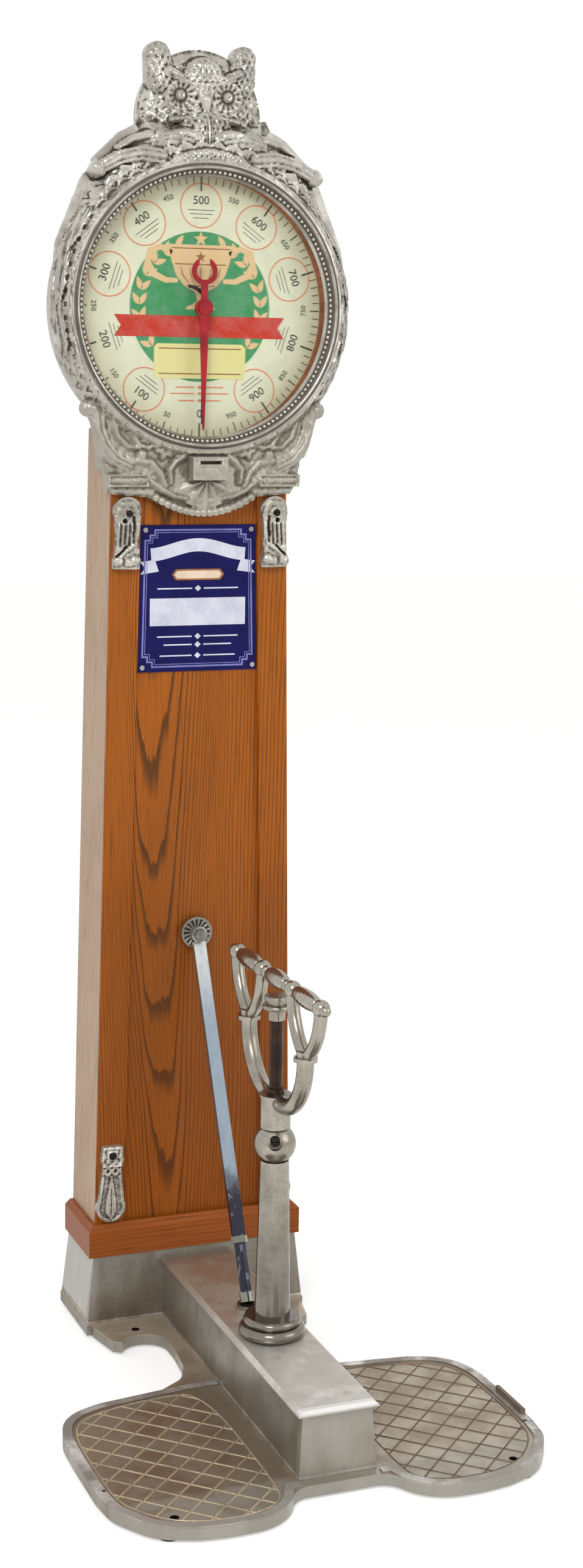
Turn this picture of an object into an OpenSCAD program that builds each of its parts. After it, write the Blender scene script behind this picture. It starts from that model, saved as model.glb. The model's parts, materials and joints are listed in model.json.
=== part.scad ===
/* [Base casting] */
// Width across the two foot plates
base_w = 624; // [600:2:660]
// Depth of the footprint, from the front of the foot plates to the back of the pedestal
base_d = 788; // [780:2:840]
// Height of the foot plates' standing surface
plate_top = 20; // [18:0.5:24]
// Thickness of the foot plates and of the casting's walls
cast_t = 7; // [5:0.5:8]
// Height of the raised rim round each foot plate
rim_h = 2.5; // [1.5:0.5:4]
// Width of the raised rim
rim_w = 13; // [9:0.5:16]
// Gap between the casting's lower edge and the floor, filled by the pads
pad_h = 4; // [3:0.5:6]
// Width of the channel's top
channel_w = 98; // [90:1:106]
// Height of the channel's top above the floor
channel_h = 114; // [112:1:118]
// Spread of the channel's sides between top and bottom, each side
channel_flare = 7; // [4:0.5:9]
// Height of the pedestal that carries the cabinet
ped_h = 123; // [121:1:128]
// Spacing of the two floor bolts in the foot plates
bolt_gap_front = 474; // [450:2:486]
// Spacing of the two floor bolts beside the pedestal
bolt_gap_rear = 218; // [204:2:230]
// Radius of the floor bolt holes
bolt_r = 5.25; // [4:0.25:6]

/* [Cabinet] */
// Cabinet width at the pedestal
cab_w_foot = 313; // [306:1:320]
// Cabinet width at its shoulders under the head
cab_w_head = 263; // [258:1:268]
// Cabinet depth
cab_d = 118; // [114:1:124]
// Thickness of the side boards
side_t = 14; // [12:0.5:16]
// Thickness of the front stiles
stile_t = 20; // [18:0.5:22]
// Width of the front stiles
stile_w = 45; // [42:0.5:48]
// How far the front panel is set back from the stiles
panel_in = 7; // [4:0.5:9]
// Thickness of the front panel
panel_t = 9; // [6:0.5:10]
// Height of the skirt boards
skirt_h = 48; // [40:1:54]
// Thickness of the skirt boards
skirt_t = 14; // [10:0.5:16]

/* [Post and brace] */
// Distance from the cabinet's front to the post's axis
post_reach = 338; // [330:1:346]
// Radius of the double ring at the post's foot
ring_r = 46.5; // [42:0.5:50]
// Radius of the column at its foot
col_r_foot = 25; // [23:0.5:28]
// Radius of the column under the ball
col_r_top = 20; // [18:0.5:22]
// Height of the column's upper end above the floor
col_top = 369; // [355:1:380]
// Radius of the ball
ball_r = 29; // [27:0.5:32]
// Height of the ball, cut flat above and below
ball_h = 47; // [42:1:50]
// Radius of the lift rod
rod_r = 9; // [8:0.25:10]
// Height of the rosette that holds the brace's upper end
rosette_z = 611; // [560:1:660]
// Radius of the rosette
rosette_r = 24; // [22:0.5:30]
// Width of the brace's flat bar
brace_w = 19; // [15:0.5:22]

/* [Lift handle] */
// Height of the hub
hub_h = 47; // [42:1:52]
// Radius of the hub
hub_r = 21; // [19:0.5:24]
// Radius of the arms' tube
arm_r = 11.5; // [10:0.5:13]
// Distance from the rod's axis to the forks' collars
fork_y = 107; // [102:1:112]
// Half of the distance between the two prongs of a fork
prong_gap = 50; // [46:1:54]
// Radius of the prongs' tube
prong_r = 9; // [7:0.5:10]
// Height of the crossbar's axis above the hub's lower face
bar_rise = 209; // [200:1:220]
// Radius of the crossbar's grips
grip_r = 12.5; // [11:0.5:14]

/* [Head] */
// Height of the dial's centre above the floor
dial_z = 1523; // [1515:1:1530]
// Depth from the glass to the dial
dial_depth = 27; // [25:1:31]
// Outer radius of the round shell behind the dial
shell_r = 207; // [204:1:210]
// Depth of the shell behind the cabinet's front
shell_d = 95; // [90:1:100]
// Thickness of the shell
shell_t = 4; // [3:0.5:6]
// Radius of the owl's head
owl_r = 92; // [88:1:94]
// Height of the owl's head centre above the dial's centre
owl_rise = 263; // [258:1:266]

/* [Movement] */
// Teeth on the pinion, which turns once for the whole scale
pinion_teeth = 24; // [22:1:26]
// Tooth module of rack and pinion
tooth_module = 1; // [1:0.05:1.1]
// How much the lever multiplies the handle's lift
lever_ratio = 2; // [1.9:0.05:2.1]
// Radius of the pointer's spindle
spindle_r = 4; // [3:0.25:5]
// Radius of the pull rod
pull_r = 5; // [4:0.25:6]
// Radius of the weighing springs
spring_r = 14; // [11:0.5:16]

/* [Hidden] */
$fn = 64;

run_fit = 0.06;   // radial clearance of a shaft in its bore
clear = 0.3;      // gap between parts that move past each other

// Places along the depth, front to back
cab_back = base_d / 2 - 7;
cab_front = cab_back - cab_d;
post_y = cab_front - post_reach;
channel_front = post_y - 240;
plate_front = -base_d / 2;
move_y = cab_front + 50;

// Cabinet heights and its taper
cab_z0 = ped_h;
cab_top = dial_z - 173;
saddle_r = shell_r + clear;
taper = (cab_w_foot - cab_w_head) / 2 / (cab_top - cab_z0);
function half_w(z) = cab_w_foot / 2 - (z - cab_z0) * taper;

// Lift, lever and rack travel
pinion_pr = pinion_teeth * tooth_module / 2;
pull_travel = 2 * PI * pinion_pr;
lift_travel = pull_travel / lever_ratio;
lever_span = move_y - post_y;
lever_front = lever_span / (1 + lever_ratio);
lever_rear = lever_span - lever_front;
lever_y = post_y + lever_front;
lever_z = 58;
lever_tilt = atan(pull_travel / 2 / lever_rear);
front_pin_z = lever_z - lift_travel / 2;
rear_pin_z = lever_z + pull_travel / 2;
lever_t = 12;
joint_pin_r = 5;

// Post, rod and handle heights
ring_h = 30;
ball_z = col_top + ball_h / 2;
hub_z = col_top + ball_h + clear;
bar_z = hub_z + bar_rise;
arm_bend = 86;
arm_z = hub_z + 38;
collar_z = arm_z + arm_bend;
cap_z = bar_z - 42;
clevis_top = front_pin_z + 22;

// Skin of the head casting and dial stack, front to back
head_r = shell_r + 16;
glass_y = cab_front - 21;
glass_t = 3;
dial_y = glass_y + dial_depth;
dial_t = 3;
bezel_r = shell_r - 9.5;
dial_r = bezel_r - 14.5;
bezel_in = dial_r - 3;
bezel_d = 15;
owl_z = dial_z + owl_rise;
crest_z = dial_z - 292;
entry_z = dial_z - 216;
back_y = cab_front + shell_d;

// Back door
door_z0 = cab_z0 + 72;
door_z1 = dial_z - 345;
door_hw = half_w(door_z1) - side_t - 11;
door_t = 15;
hinge_y = cab_back + 3.5;
hinge_x = door_hw + 0.5;
hinge_zs = [door_z0 + 90, door_z1 - 150];
lock_z = (door_z0 + door_z1) / 2;
lock_x = -door_hw + 15;

// Outline in X and Z, pushed through from y0 to y1
module slab_xz(points, y0, y1)
  translate([0, y1, 0]) rotate([90, 0, 0]) linear_extrude(y1 - y0) polygon(points);

// Outline in Y and Z, pushed through from x0 to x1
module slab_yz(points, x0, x1)
  translate([x0, 0, 0]) rotate([90, 0, 90]) linear_extrude(x1 - x0) polygon(points);

// Round bar from y0 to y1 along Y
module bar_y(r, y0, y1, x = 0, z = 0)
  translate([x, y1, z]) rotate([90, 0, 0]) cylinder(r = r, h = y1 - y0);

// Round bar from x0 to x1 along X
module bar_x(r, x0, x1, y = 0, z = 0)
  translate([x0, y, z]) rotate([0, 90, 0]) cylinder(r = r, h = x1 - x0);

module block(x0, x1, y0, y1, z0, z1)
  translate([x0, y0, z0]) cube([x1 - x0, y1 - y0, z1 - z0]);

module both_sides() {
  children();
  mirror([1, 0, 0]) children();
}

function box_xz(x0, x1, z0, z1) = [[x0, z0], [x1, z0], [x1, z1], [x0, z1]];

// Base casting

ped_top_hw = 162;
ped_foot_hw = 174;
ped_front = cab_front - 12;
ped_lean = 8;
pad_places = [[base_w / 2 - 66, plate_front + 36], [base_w / 2 - 42, post_y - 32],
              [ped_foot_hw - 26, base_d / 2 - 20]];
plate_stretch = (post_y - plate_front) / 325;
bolt_y_front = plate_front + 43 * plate_stretch;
bolt_y_rear = cab_front - 56;
lug_y = cab_front - 96;
neck_hw = channel_w / 2 + 28;
sill_z = 12;
edge_pad_w = 8;
edge_pad_l = 76;
edge_pad_y = plate_front + 155 * plate_stretch;
edge_pad_z = plate_top - 4;
edge_pad_top = plate_top + rim_h + 9;

// Right foot plate seen from above, with rounded corners
module foot_plate_outline() {
  side = base_w / 2;
  toe = plate_front;
  rounding = 75;
  offset(r = rounding) offset(delta = -rounding)
    polygon([
      [-rounding, post_y + 74], [side - 212, post_y + 72], [side - 76, post_y + 54], [side - 18, post_y + 32],
      [side - 2, toe + 295 * plate_stretch], [side, toe + 235 * plate_stretch],
      [side, toe + 135 * plate_stretch], [side - 6, toe + 85 * plate_stretch],
      [side - 44, toe + 25 * plate_stretch], [side - 97, toe + 5], [side - 137, toe],
      [side - 181, toe + 1], [side - 223, toe + 16 * plate_stretch],
      [side - 245, toe + 63 * plate_stretch], [-rounding, toe + 63 * plate_stretch]
    ]);
}

module rear_lug_outline() {
  side = ped_foot_hw - 3;
  polygon([
    [0, base_d / 2 - 60], [side, cab_front + 10], [side - 5, lug_y + 66], [side - 17, lug_y + 8],
    [side - 29, lug_y], [side - 37, lug_y + 20], [0, lug_y + 10]
  ]);
}

// Flange beside the channel, spreading forward into the foot plate
module neck_outline() polygon([
  [0, channel_front], [neck_hw, channel_front], [neck_hw + 53, post_y - 100], [neck_hw + 53, cab_front - 262],
  [neck_hw + 23, cab_front - 242], [neck_hw + 6, cab_front - 203], [neck_hw, cab_front - 143],
  [neck_hw, ped_front], [0, ped_front]
]);

module base_outline() {
  fillet = 34;
  offset(r = -fillet) offset(delta = fillet) both_sides() {
    foot_plate_outline();
    neck_outline();
    rear_lug_outline();
  }
  translate([-ped_foot_hw, ped_front - ped_lean])
    square([2 * ped_foot_hw, base_d / 2 - ped_front + ped_lean]);
}

// Pedestal block, drawn in by d on every side
module pedestal_block(d, z0, z1) {
  foot = ped_foot_hw - d;
  top = ped_top_hw - d;
  intersection() {
    slab_xz([[-foot, z0], [foot, z0], [top, z1], [-top, z1]], 0, base_d);
    slab_yz([[ped_front - ped_lean + d, z0], [base_d / 2 - d, z0],
             [cab_back - d, z1], [ped_front + d, z1]], -base_w, base_w);
  }
}

// Channel block, drawn in by d on every side
module channel_block(d, z0, z1, y_back) {
  foot = channel_w / 2 + channel_flare - d;
  top = channel_w / 2 - d;
  intersection() {
    slab_xz([[-foot, z0], [foot, z0], [top, z1], [-top, z1]], -base_d, base_d);
    slab_yz([[channel_front - channel_flare + d, z0], [y_back, z0],
             [y_back, z1], [channel_front + d, z1]], -base_w, base_w);
  }
}

module base_shell() {
  z0 = pad_h;
  difference() {
    union() {
      translate([0, 0, z0]) linear_extrude(plate_top - z0) base_outline();
      translate([0, 0, plate_top]) linear_extrude(rim_h) both_sides() difference() {
        foot_plate_outline();
        offset(delta = -rim_w) foot_plate_outline();
        translate([-base_w, -base_d]) square([base_w + neck_hw - 20, 2 * base_d]);
      }
      pedestal_block(0, z0, ped_h);
      channel_block(0, z0, channel_h - 6, ped_front + 20);
      channel_block(-1.5, channel_h - 6, channel_h, ped_front + 20);
    }
    translate([0, 0, -1]) linear_extrude(plate_top - cast_t + 1) offset(delta = -cast_t) base_outline();
    pedestal_block(cast_t, -1, ped_h - cast_t);
    channel_block(cast_t, -1, channel_h - cast_t - 1, ped_front + 40);
    block(-48, 48, channel_front - 20, channel_front + 8, -1, sill_z);
  }
}

module base_casting() color([0.62, 0.61, 0.57]) {
  difference() {
    union() {
      base_shell();
      both_sides() {
        for (p = pad_places) translate([p[0], p[1], pad_h]) cylinder(r = 15, h = plate_top - pad_h - 1);
        translate([bolt_gap_front / 2, bolt_y_front, pad_h]) cylinder(r = 13, h = plate_top - pad_h);
        translate([bolt_gap_rear / 2, bolt_y_rear, pad_h]) cylinder(r = 13, h = plate_top - pad_h);
      }
    }
    both_sides() {
      translate([bolt_gap_front / 2, bolt_y_front, -1]) cylinder(r = bolt_r, h = plate_top + rim_h + 2);
      translate([bolt_gap_rear / 2, bolt_y_rear, -1]) cylinder(r = bolt_r, h = plate_top + 2);
      translate([base_w / 2 - 11, post_y - 190, plate_top - cast_t - 1]) cylinder(r = 3.5, h = 30);
    }
    block(base_w / 2 - edge_pad_w, base_w, edge_pad_y, edge_pad_y + edge_pad_l, edge_pad_z, base_w);
    translate([0, post_y, channel_h - 20]) cylinder(r = rod_r + 2, h = 40);
    block(-45, 45, move_y - 20, move_y + 20, ped_h - 20, ped_h + 20);
    both_sides() block(ped_foot_hw - 40, ped_foot_hw - 24, cab_front + 30, cab_back - 30,
        ped_h - 20, ped_h + 1);
  }
}

module floor_pads() color([0.16, 0.14, 0.13]) {
  both_sides() for (p = pad_places) translate([p[0], p[1], 0]) cylinder(r = 14, h = pad_h);
  block(-27, 27, channel_front - 15, channel_front + 7, 0, sill_z);
}

module edge_pad() color([0.24, 0.19, 0.15])
  slab_xz([[base_w / 2 - edge_pad_w, edge_pad_z], [base_w / 2, edge_pad_z], [base_w / 2, edge_pad_top - 3],
           [base_w / 2 - 3, edge_pad_top], [base_w / 2 - edge_pad_w, edge_pad_top]],
          edge_pad_y, edge_pad_y + edge_pad_l);

// Post

module post_ring() color([0.78, 0.77, 0.74]) translate([0, post_y, 0]) rotate_extrude() difference() {
  union() {
    translate([0, channel_h]) square([ring_r - 9, ring_h]);
    translate([ring_r - 9, channel_h + 9]) circle(r = 9);
    translate([ring_r - 12, channel_h + 23]) circle(r = 6);
  }
  square([rod_r + run_fit, 2 * channel_h]);
  translate([0, channel_h + ring_h - 10]) square([col_r_foot + run_fit, 20]);
  translate([0, channel_h - 20]) square([ring_r + 9, 20]);
}

module post_column() color([0.78, 0.77, 0.74]) translate([0, post_y, 0]) difference() {
  z0 = channel_h + ring_h - 10;
  union() {
    translate([0, 0, z0]) cylinder(r = col_r_foot, h = 10);
    translate([0, 0, z0 + 10]) cylinder(r1 = col_r_foot, r2 = col_r_top, h = col_top - z0 - 10);
  }
  translate([0, 0, z0 - 1]) cylinder(r = rod_r + 3, h = col_top);
}

ball_hole_r = 10;
ball_hole_turn = -20;
ball_hole_rise = 8;

module post_ball() color([0.8, 0.79, 0.76]) translate([0, post_y, ball_z]) difference() {
  intersection() {
    sphere(r = ball_r);
    translate([0, 0, -ball_h / 2]) cylinder(r = ball_r, h = ball_h);
  }
  translate([0, 0, -ball_h]) cylinder(r = rod_r + run_fit, h = 2 * ball_h);
  rotate([0, 0, ball_hole_turn]) {
    bar_y(ball_hole_r, -ball_r - 1, -ball_r + 12, 0, ball_hole_rise);
    bar_y(5, -ball_r, 0, 0, ball_hole_rise);
  }
}

module ball_screw() color([0.2, 0.19, 0.18]) translate([0, post_y, ball_z])
  rotate([0, 0, ball_hole_turn]) difference() {
    union() {
      bar_y(5, -ball_r + 12, -rod_r - 0.8, 0, ball_hole_rise);
      bar_y(7, -ball_r + 8, -ball_r + 12, 0, ball_hole_rise);
    }
    block(-8, 8, -ball_r, -ball_r + 9.5, ball_hole_rise - 0.8, ball_hole_rise + 0.8);
  }

// Brace from the cabinet to the channel

panel_back = cab_front + panel_in + panel_t;
rosette_front = cab_front + panel_in - 13;
brace_eye_t = 12;
brace_y_top = rosette_front - brace_eye_t / 2;
brace_y_foot = post_y + 98;
brace_z_foot = channel_h + 10;
brace_lean = atan2(brace_y_top - brace_y_foot, rosette_z - 8 - brace_z_foot);
brace_len = norm([brace_y_top - brace_y_foot, rosette_z - 8 - brace_z_foot]);
brace_screw_len = 92;

// Places its children on the brace's own axis, with Z up along the bar
module on_brace() translate([0, brace_y_foot, brace_z_foot]) rotate([-brace_lean, 0, 0]) children();

module brace_rosette() color([0.6, 0.59, 0.56]) difference() {
  union() {
    bar_y(rosette_r, rosette_front + 4, cab_front + panel_in, 0, rosette_z);
    bar_y(rosette_r - 7, rosette_front, rosette_front + 4, 0, rosette_z);
    for (a = [0 : 45 : 315])
      bar_y(4, rosette_front + 1, rosette_front + 4, (rosette_r - 5) * cos(a),
          rosette_z + (rosette_r - 5) * sin(a));
  }
  bar_y(6, 0, base_d, 0, rosette_z);
}

module brace_bolt() color([0.55, 0.55, 0.54]) {
  eye_front = rosette_front - brace_eye_t;
  bar_y(6, eye_front - 1, panel_back + 9, 0, rosette_z);
  translate([0, eye_front, rosette_z]) rotate([90, 0, 0]) cylinder(r = 10, h = 9, $fn = 6);
  translate([0, panel_back + 6, rosette_z]) rotate([90, 0, 0]) cylinder(r = 9, h = 6, $fn = 6);
}

module brace_bar() color([0.47, 0.52, 0.6]) difference() {
  union() {
    on_brace() {
      translate([-brace_w / 2, -4, brace_screw_len]) cube([brace_w, 8, brace_len - brace_screw_len - 4]);
      translate([0, 0, 12]) cylinder(r = 7.5, h = brace_screw_len - 12);
      for (a = [0 : 30 : 330]) rotate([0, 0, a]) translate([7.2, 0, 14])
        cylinder(r = 1.1, h = brace_screw_len - 18);
    }
    bar_y(brace_w / 2 + 2, rosette_front - brace_eye_t, rosette_front, 0, rosette_z);
  }
  bar_y(6 + run_fit, 0, base_d, 0, rosette_z);
}

module brace_nut() color([0.66, 0.65, 0.62]) on_brace() difference() {
  translate([0, 0, brace_screw_len - 10]) cylinder(r = 12.5, h = 9.5, $fn = 6);
  translate([0, 0, brace_screw_len - 20]) cylinder(r = 8.4, h = 30);
}

module brace_foot() color([0.66, 0.65, 0.62]) difference() {
  union() {
    on_brace() translate([0, 0, -2]) cylinder(r = 10.5, h = 16);
    translate([0, brace_y_foot, channel_h]) cylinder(r = 15, h = 6);
  }
  on_brace() translate([0, 0, 12]) cylinder(r = 12, h = 40);
  block(-40, 40, brace_y_foot - 60, brace_y_foot + 60, 0, channel_h);
}

// Cabinet

// Keeps a board clear of the round shell that rests on the cabinet
module saddled() difference() {
  children();
  bar_y(saddle_r, 0, base_d, 0, dial_z);
}

// Upright strip between two distances in from the cabinet's side
function strip(inner, outer) = [
  [half_w(cab_z0) - inner, cab_z0], [half_w(cab_z0) - outer, cab_z0],
  [half_w(cab_top) - outer, cab_top], [half_w(cab_top) - inner, cab_top]];

stile_lip = 4;

module side_board() color([0.78, 0.55, 0.33]) saddled()
  slab_xz(strip(side_t, 0), cab_front + stile_lip, cab_back);

module left_side() mirror([1, 0, 0]) side_board();
module right_side() side_board();

// Front stile with a thin lip over the side board's front edge
module stile() color([0.72, 0.42, 0.14]) saddled() {
  slab_xz(strip(stile_w, 0), cab_front, cab_front + stile_lip);
  slab_xz(strip(stile_w, side_t), cab_front + stile_lip, cab_front + stile_t);
}

module left_stile() mirror([1, 0, 0]) stile();
module right_stile() stile();

chute_w = 34;
chute_t = 12;
duct_z0 = dial_z - saddle_r - 30;
duct_z1 = duct_z0 + 27;

module front_panel() color([0.66, 0.36, 0.11]) saddled() difference() {
  foot = half_w(cab_z0) - stile_w;
  head = half_w(cab_top) - stile_w;
  slab_xz([[-foot, cab_z0], [foot, cab_z0], [head, cab_top], [-head, cab_top]],
          cab_front + panel_in, cab_front + panel_in + panel_t);
  bar_y(6 + run_fit, 0, base_d, 0, rosette_z);
  block(-chute_w / 2, chute_w / 2, cab_front, cab_front + stile_t, duct_z0, duct_z1);
}

skirt_top = cab_z0 + skirt_h;
skirt_hw = cab_w_foot / 2 + skirt_t - 2;

module skirt_boards() color([0.62, 0.28, 0.1]) {
  bevel = 8;
  foot = half_w(cab_z0);
  y_out = cab_front - skirt_t;
  difference() {
    slab_yz([[y_out, cab_z0], [cab_front, cab_z0], [cab_front, skirt_top],
             [cab_front - 4, skirt_top], [y_out, skirt_top - bevel]], -skirt_hw, skirt_hw);
    both_sides() linear_extrude(2 * skirt_top)
      polygon([[foot, cab_front], [skirt_hw, y_out], [base_w, y_out], [base_w, cab_front + 1],
          [foot, cab_front + 1]]);
    both_sides() slab_xz([[skirt_hw, skirt_top - bevel], [foot + 4, skirt_top], [base_w, skirt_top + 9],
                          [base_w, skirt_top - bevel]], 0, base_d);
  }
  both_sides() difference() {
    slab_xz([[foot, cab_z0], [skirt_hw, cab_z0], [skirt_hw, skirt_top - bevel], [foot + 4, skirt_top],
             [half_w(skirt_top), skirt_top]], y_out, cab_back);
    linear_extrude(2 * skirt_top)
      polygon([[0, cab_front], [foot, cab_front], [skirt_hw, y_out], [skirt_hw, 0], [0, 0]]);
    slab_yz([[0, skirt_top - bevel], [y_out, skirt_top - bevel], [cab_front - 4, skirt_top],
        [cab_front - 4, 2 * skirt_top],
             [0, 2 * skirt_top]], 0, base_w);
  }
}

module cabinet_floor() color([0.6, 0.45, 0.3]) difference() {
  t = 12;
  slab_xz([[-half_w(cab_z0) + side_t, cab_z0], [half_w(cab_z0) - side_t, cab_z0],
           [half_w(cab_z0 + t) - side_t, cab_z0 + t], [-half_w(cab_z0 + t) + side_t, cab_z0 + t]],
          cab_front + stile_t, cab_back - door_t - 1);
  translate([0, move_y, 0]) cylinder(r = pull_r + 8, h = cab_top);
}

module back_frame() color([0.66, 0.42, 0.2]) saddled() difference() {
  foot = half_w(cab_z0) - side_t;
  head = half_w(cab_top) - side_t;
  slab_xz([[-foot, cab_z0], [foot, cab_z0], [head, cab_top], [-head, cab_top]],
          cab_back - door_t - 1, cab_back);
  slab_xz(box_xz(-hinge_x, hinge_x, door_z0 - 0.5, door_z1 + 0.5), 0, base_d);
}

leaf_w = 9.5;
leaf_h = 60;
leaf_t = 1.5;
knuckle_r = 3;
hinge_pin_r = 1.5;

// One hinge leaf with its knuckles: the fixed one has the outer pair and the door's has the middle
module hinge_leaf(fixed) {
  zs = fixed ? [[0, leaf_h / 3 - 0.2], [leaf_h * 2 / 3 + 0.2, leaf_h]]
      : [[leaf_h / 3 + 0.1, leaf_h * 2 / 3 - 0.1]];
  x0 = fixed ? hinge_x + knuckle_r + clear : hinge_x - knuckle_r - clear - leaf_w;
  difference() {
    union() {
      block(x0, x0 + leaf_w, cab_back, cab_back + leaf_t, 0, leaf_h);
      for (z = zs) {
        translate([hinge_x, hinge_y, z[0]]) cylinder(r = knuckle_r, h = z[1] - z[0]);
        block(min(hinge_x, x0), max(hinge_x, x0 + leaf_w), cab_back + 0.6, cab_back + leaf_t, z[0], z[1]);
      }
    }
    translate([hinge_x, hinge_y, -1]) cylinder(r = hinge_pin_r + run_fit, h = leaf_h + 2);
  }
}

module hinge_leaves() color("goldenrod") for (z = hinge_zs) translate([0, 0, z]) {
  hinge_leaf(true);
  translate([hinge_x, hinge_y, 0]) cylinder(r = hinge_pin_r, h = leaf_h);
  for (s = [0, leaf_h - 2]) translate([hinge_x, hinge_y, s]) cylinder(r = knuckle_r - 0.4, h = 2);
}

module back_door() color([0.7, 0.45, 0.22]) {
  difference() {
    block(-door_hw, door_hw, cab_back - door_t, cab_back, door_z0, door_z1);
    bar_y(8 + run_fit, 0, base_d, lock_x, lock_z);
  }
  for (z = hinge_zs) translate([0, 0, z]) hinge_leaf(false);
}

module door_lock() color([0.75, 0.7, 0.5]) {
  bar_y(8, cab_back - door_t - 3, cab_back + 2, lock_x, lock_z);
  bar_y(10, cab_back + clear, cab_back + 3, lock_x, lock_z);
  block(lock_x - 6, lock_x + 6, cab_back - door_t - 5, cab_back - door_t - 1.6, lock_z - 7, lock_z + 30);
}

// Cast ornaments on the stiles

corbel_top = dial_z - 265;
corbel_h = 104;
corbel_lean = atan(taper);
corbel_screw_z = -24;
drop_z = cab_z0 + 74;
screw_r = 3;

// Places its children on the middle of the right stile at height z, leaning with it
module on_stile(z) translate([half_w(z) - stile_w / 2 + 0.5, cab_front, z])
  rotate([0, -corbel_lean, 0]) children();

module corbel() color([0.72, 0.72, 0.7]) on_stile(corbel_top) difference() {
  union() {
    bar_y(20.5, -12, 0, 0, -21);
    bar_y(14, -19, -12, 0, corbel_screw_z);
    slab_xz([[-19, -25], [-17, -60], [-18.5, 8 - corbel_h], [18.5, 8 - corbel_h],
        [17, -60], [19, -25]], -11, 0);
    bar_x(7.5, -20, 20, -8, 8 - corbel_h);
    bar_x(5, -15, 15, -12, -74);
  }
  bar_y(screw_r, -30, 1, 0, corbel_screw_z);
  block(-40, 40, 0, 20, -corbel_h - 20, 20);
}

module corbel_right() corbel();
module corbel_left() mirror([1, 0, 0]) corbel();

module drop_ornament() color([0.72, 0.72, 0.7]) on_stile(drop_z) difference() {
  union() {
    bar_y(22.5, -8, 0, 0, 0);
    bar_y(15, -13, -8, 0, 0);
    slab_xz([[-21, 4], [-14, 62], [-17, 74], [-15, 96], [15, 96], [17, 74], [14, 62], [21, 4]], -7, 0);
    bar_y(9, -11, -7, 0, 82);
  }
  bar_y(screw_r, -30, 1, 0, 82);
}

module drop_ornament_right() drop_ornament();
module drop_ornament_left() mirror([1, 0, 0]) drop_ornament();

// Round-headed screw that goes in along Y, with its head's underside at the origin
module screw(r, head, deep) difference() {
  union() {
    bar_y(r, 0, deep);
    bar_y(head, -2.4, 0);
  }
  block(-head, head, -3, -1.2, -0.6, 0.6);
}

module ornament_screws() color([0.35, 0.33, 0.3]) both_sides() {
  on_stile(corbel_top) translate([0, -19, corbel_screw_z]) screw(screw_r, 5, 19);
  on_stile(drop_z) translate([0, -11, 82]) screw(screw_r, 5, 11);
}

// Enamelled plate on the front panel

sign_top = dial_z - 307;
sign_h = 213;
sign_t = 2.4;
sign_margin = 1.5;
sign_hw_top = half_w(sign_top) - stile_w - sign_margin;
sign_hw_foot = half_w(sign_top - sign_h) - stile_w - sign_margin;
sign_y = cab_front + panel_in - sign_t;
sign_screw_in = 7;

module sign_screw_places() both_sides() {
  translate([sign_hw_top - sign_screw_in, sign_y, sign_top - sign_screw_in]) children();
  translate([sign_hw_foot - sign_screw_in, sign_y, sign_top - sign_h + sign_screw_in]) children();
}

module enamel_plate() color([0.09, 0.1, 0.38]) difference() {
  slab_xz([[-sign_hw_foot, sign_top - sign_h], [sign_hw_foot, sign_top - sign_h],
           [sign_hw_top, sign_top], [-sign_hw_top, sign_top]], sign_y, cab_front + panel_in);
  sign_screw_places() bar_y(2, -5, 5);
}

module plate_screws() color([0.7, 0.68, 0.62]) sign_screw_places() screw(2, 3.6, sign_t);

// Head

ring_in = bezel_r + clear;

// Outline of the casting above the dial, drawn in by d
module shoulder_outline(d) polygon([
  [0, dial_z + 40], [head_r - 2 - d, dial_z + 40], [head_r - 11 - d, dial_z + 88],
  [head_r - 33 - d, dial_z + 141], [head_r - 46 - d, dial_z + 172], [head_r - 64 - d, dial_z + 202],
  [head_r - 100 - d, dial_z + 236 - d], [owl_r + 8 - d, dial_z + 248 - d], [owl_r - d, owl_z], [0, owl_z]]);

// Outline of the crest below the dial, drawn in by d
module crest_outline(d) {
  side = cab_w_head / 2 - d;
  polygon([
    [0, crest_z + d], [28, crest_z + 4 + d], [58, crest_z + 15 + d], [84, crest_z + 26 + d],
    [side + 3, crest_z + 30 + d], [side + 8, crest_z + 38], [side + 14, crest_z + 56],
        [side + 18, crest_z + 76],
    [side + 27, crest_z + 100], [side + 33, crest_z + 128], [side + 44, crest_z + 154],
    [head_r - 38 - d, crest_z + 172], [0, crest_z + 172]]);
}

module through_y(y0, y1) translate([0, y1, 0]) rotate([90, 0, 0]) linear_extrude(y1 - y0) children();

function dome_profile(r, d) = concat([[0, 0]], [for (a = [0 : 7.5 : 90]) [r * cos(a), d * sin(a)]]);

// Low dome of radius r that bulges d towards the front from the plane y
module dome_front(r, d, x, y, z) translate([x, y, z]) rotate([90, 0, 0])
  rotate_extrude() polygon(dome_profile(r, d));

knob_x = 169;
knob_z = dial_z - 142;
plinth_z = dial_z - 242;
bead_count = 9;
bead_r = 7;
ear_x = 64;
ear_r = 18;
eye_x = 32;
eye_z = owl_z + 29;
owl_y = cab_front + 30;
crest_front = cab_front - 16;
box_front = cab_front - 48;
cheek_hw = cab_w_head / 2 + 8;
slot_w = 30;
slot_h = 5.2;

module owl_front() {
  dome_front(owl_r, 38, 0, owl_y, owl_z);
  both_sides() {
    dome_front(24, 12, eye_x, owl_y - 28, eye_z);
    bar_y(24, owl_y - 28, owl_y - 10, eye_x, eye_z);
    translate([eye_x, owl_y - 39, eye_z]) sphere(r = 8);
    translate([ear_x - 7, owl_y - 12, owl_z + owl_r / 2]) rotate([0, 10, 0]) {
      cylinder(r1 = ear_r + 5, r2 = ear_r, h = 2 * ear_r);
      translate([0, 0, 2 * ear_r]) sphere(r = ear_r);
    }
  }
  translate([0, owl_y - 36, eye_z]) rotate([172, 0, 0]) cylinder(r1 = 9, r2 = 1.5, h = 30);
  dome_front(46, 30, 0, cab_front, owl_z - 34);
}

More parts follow.
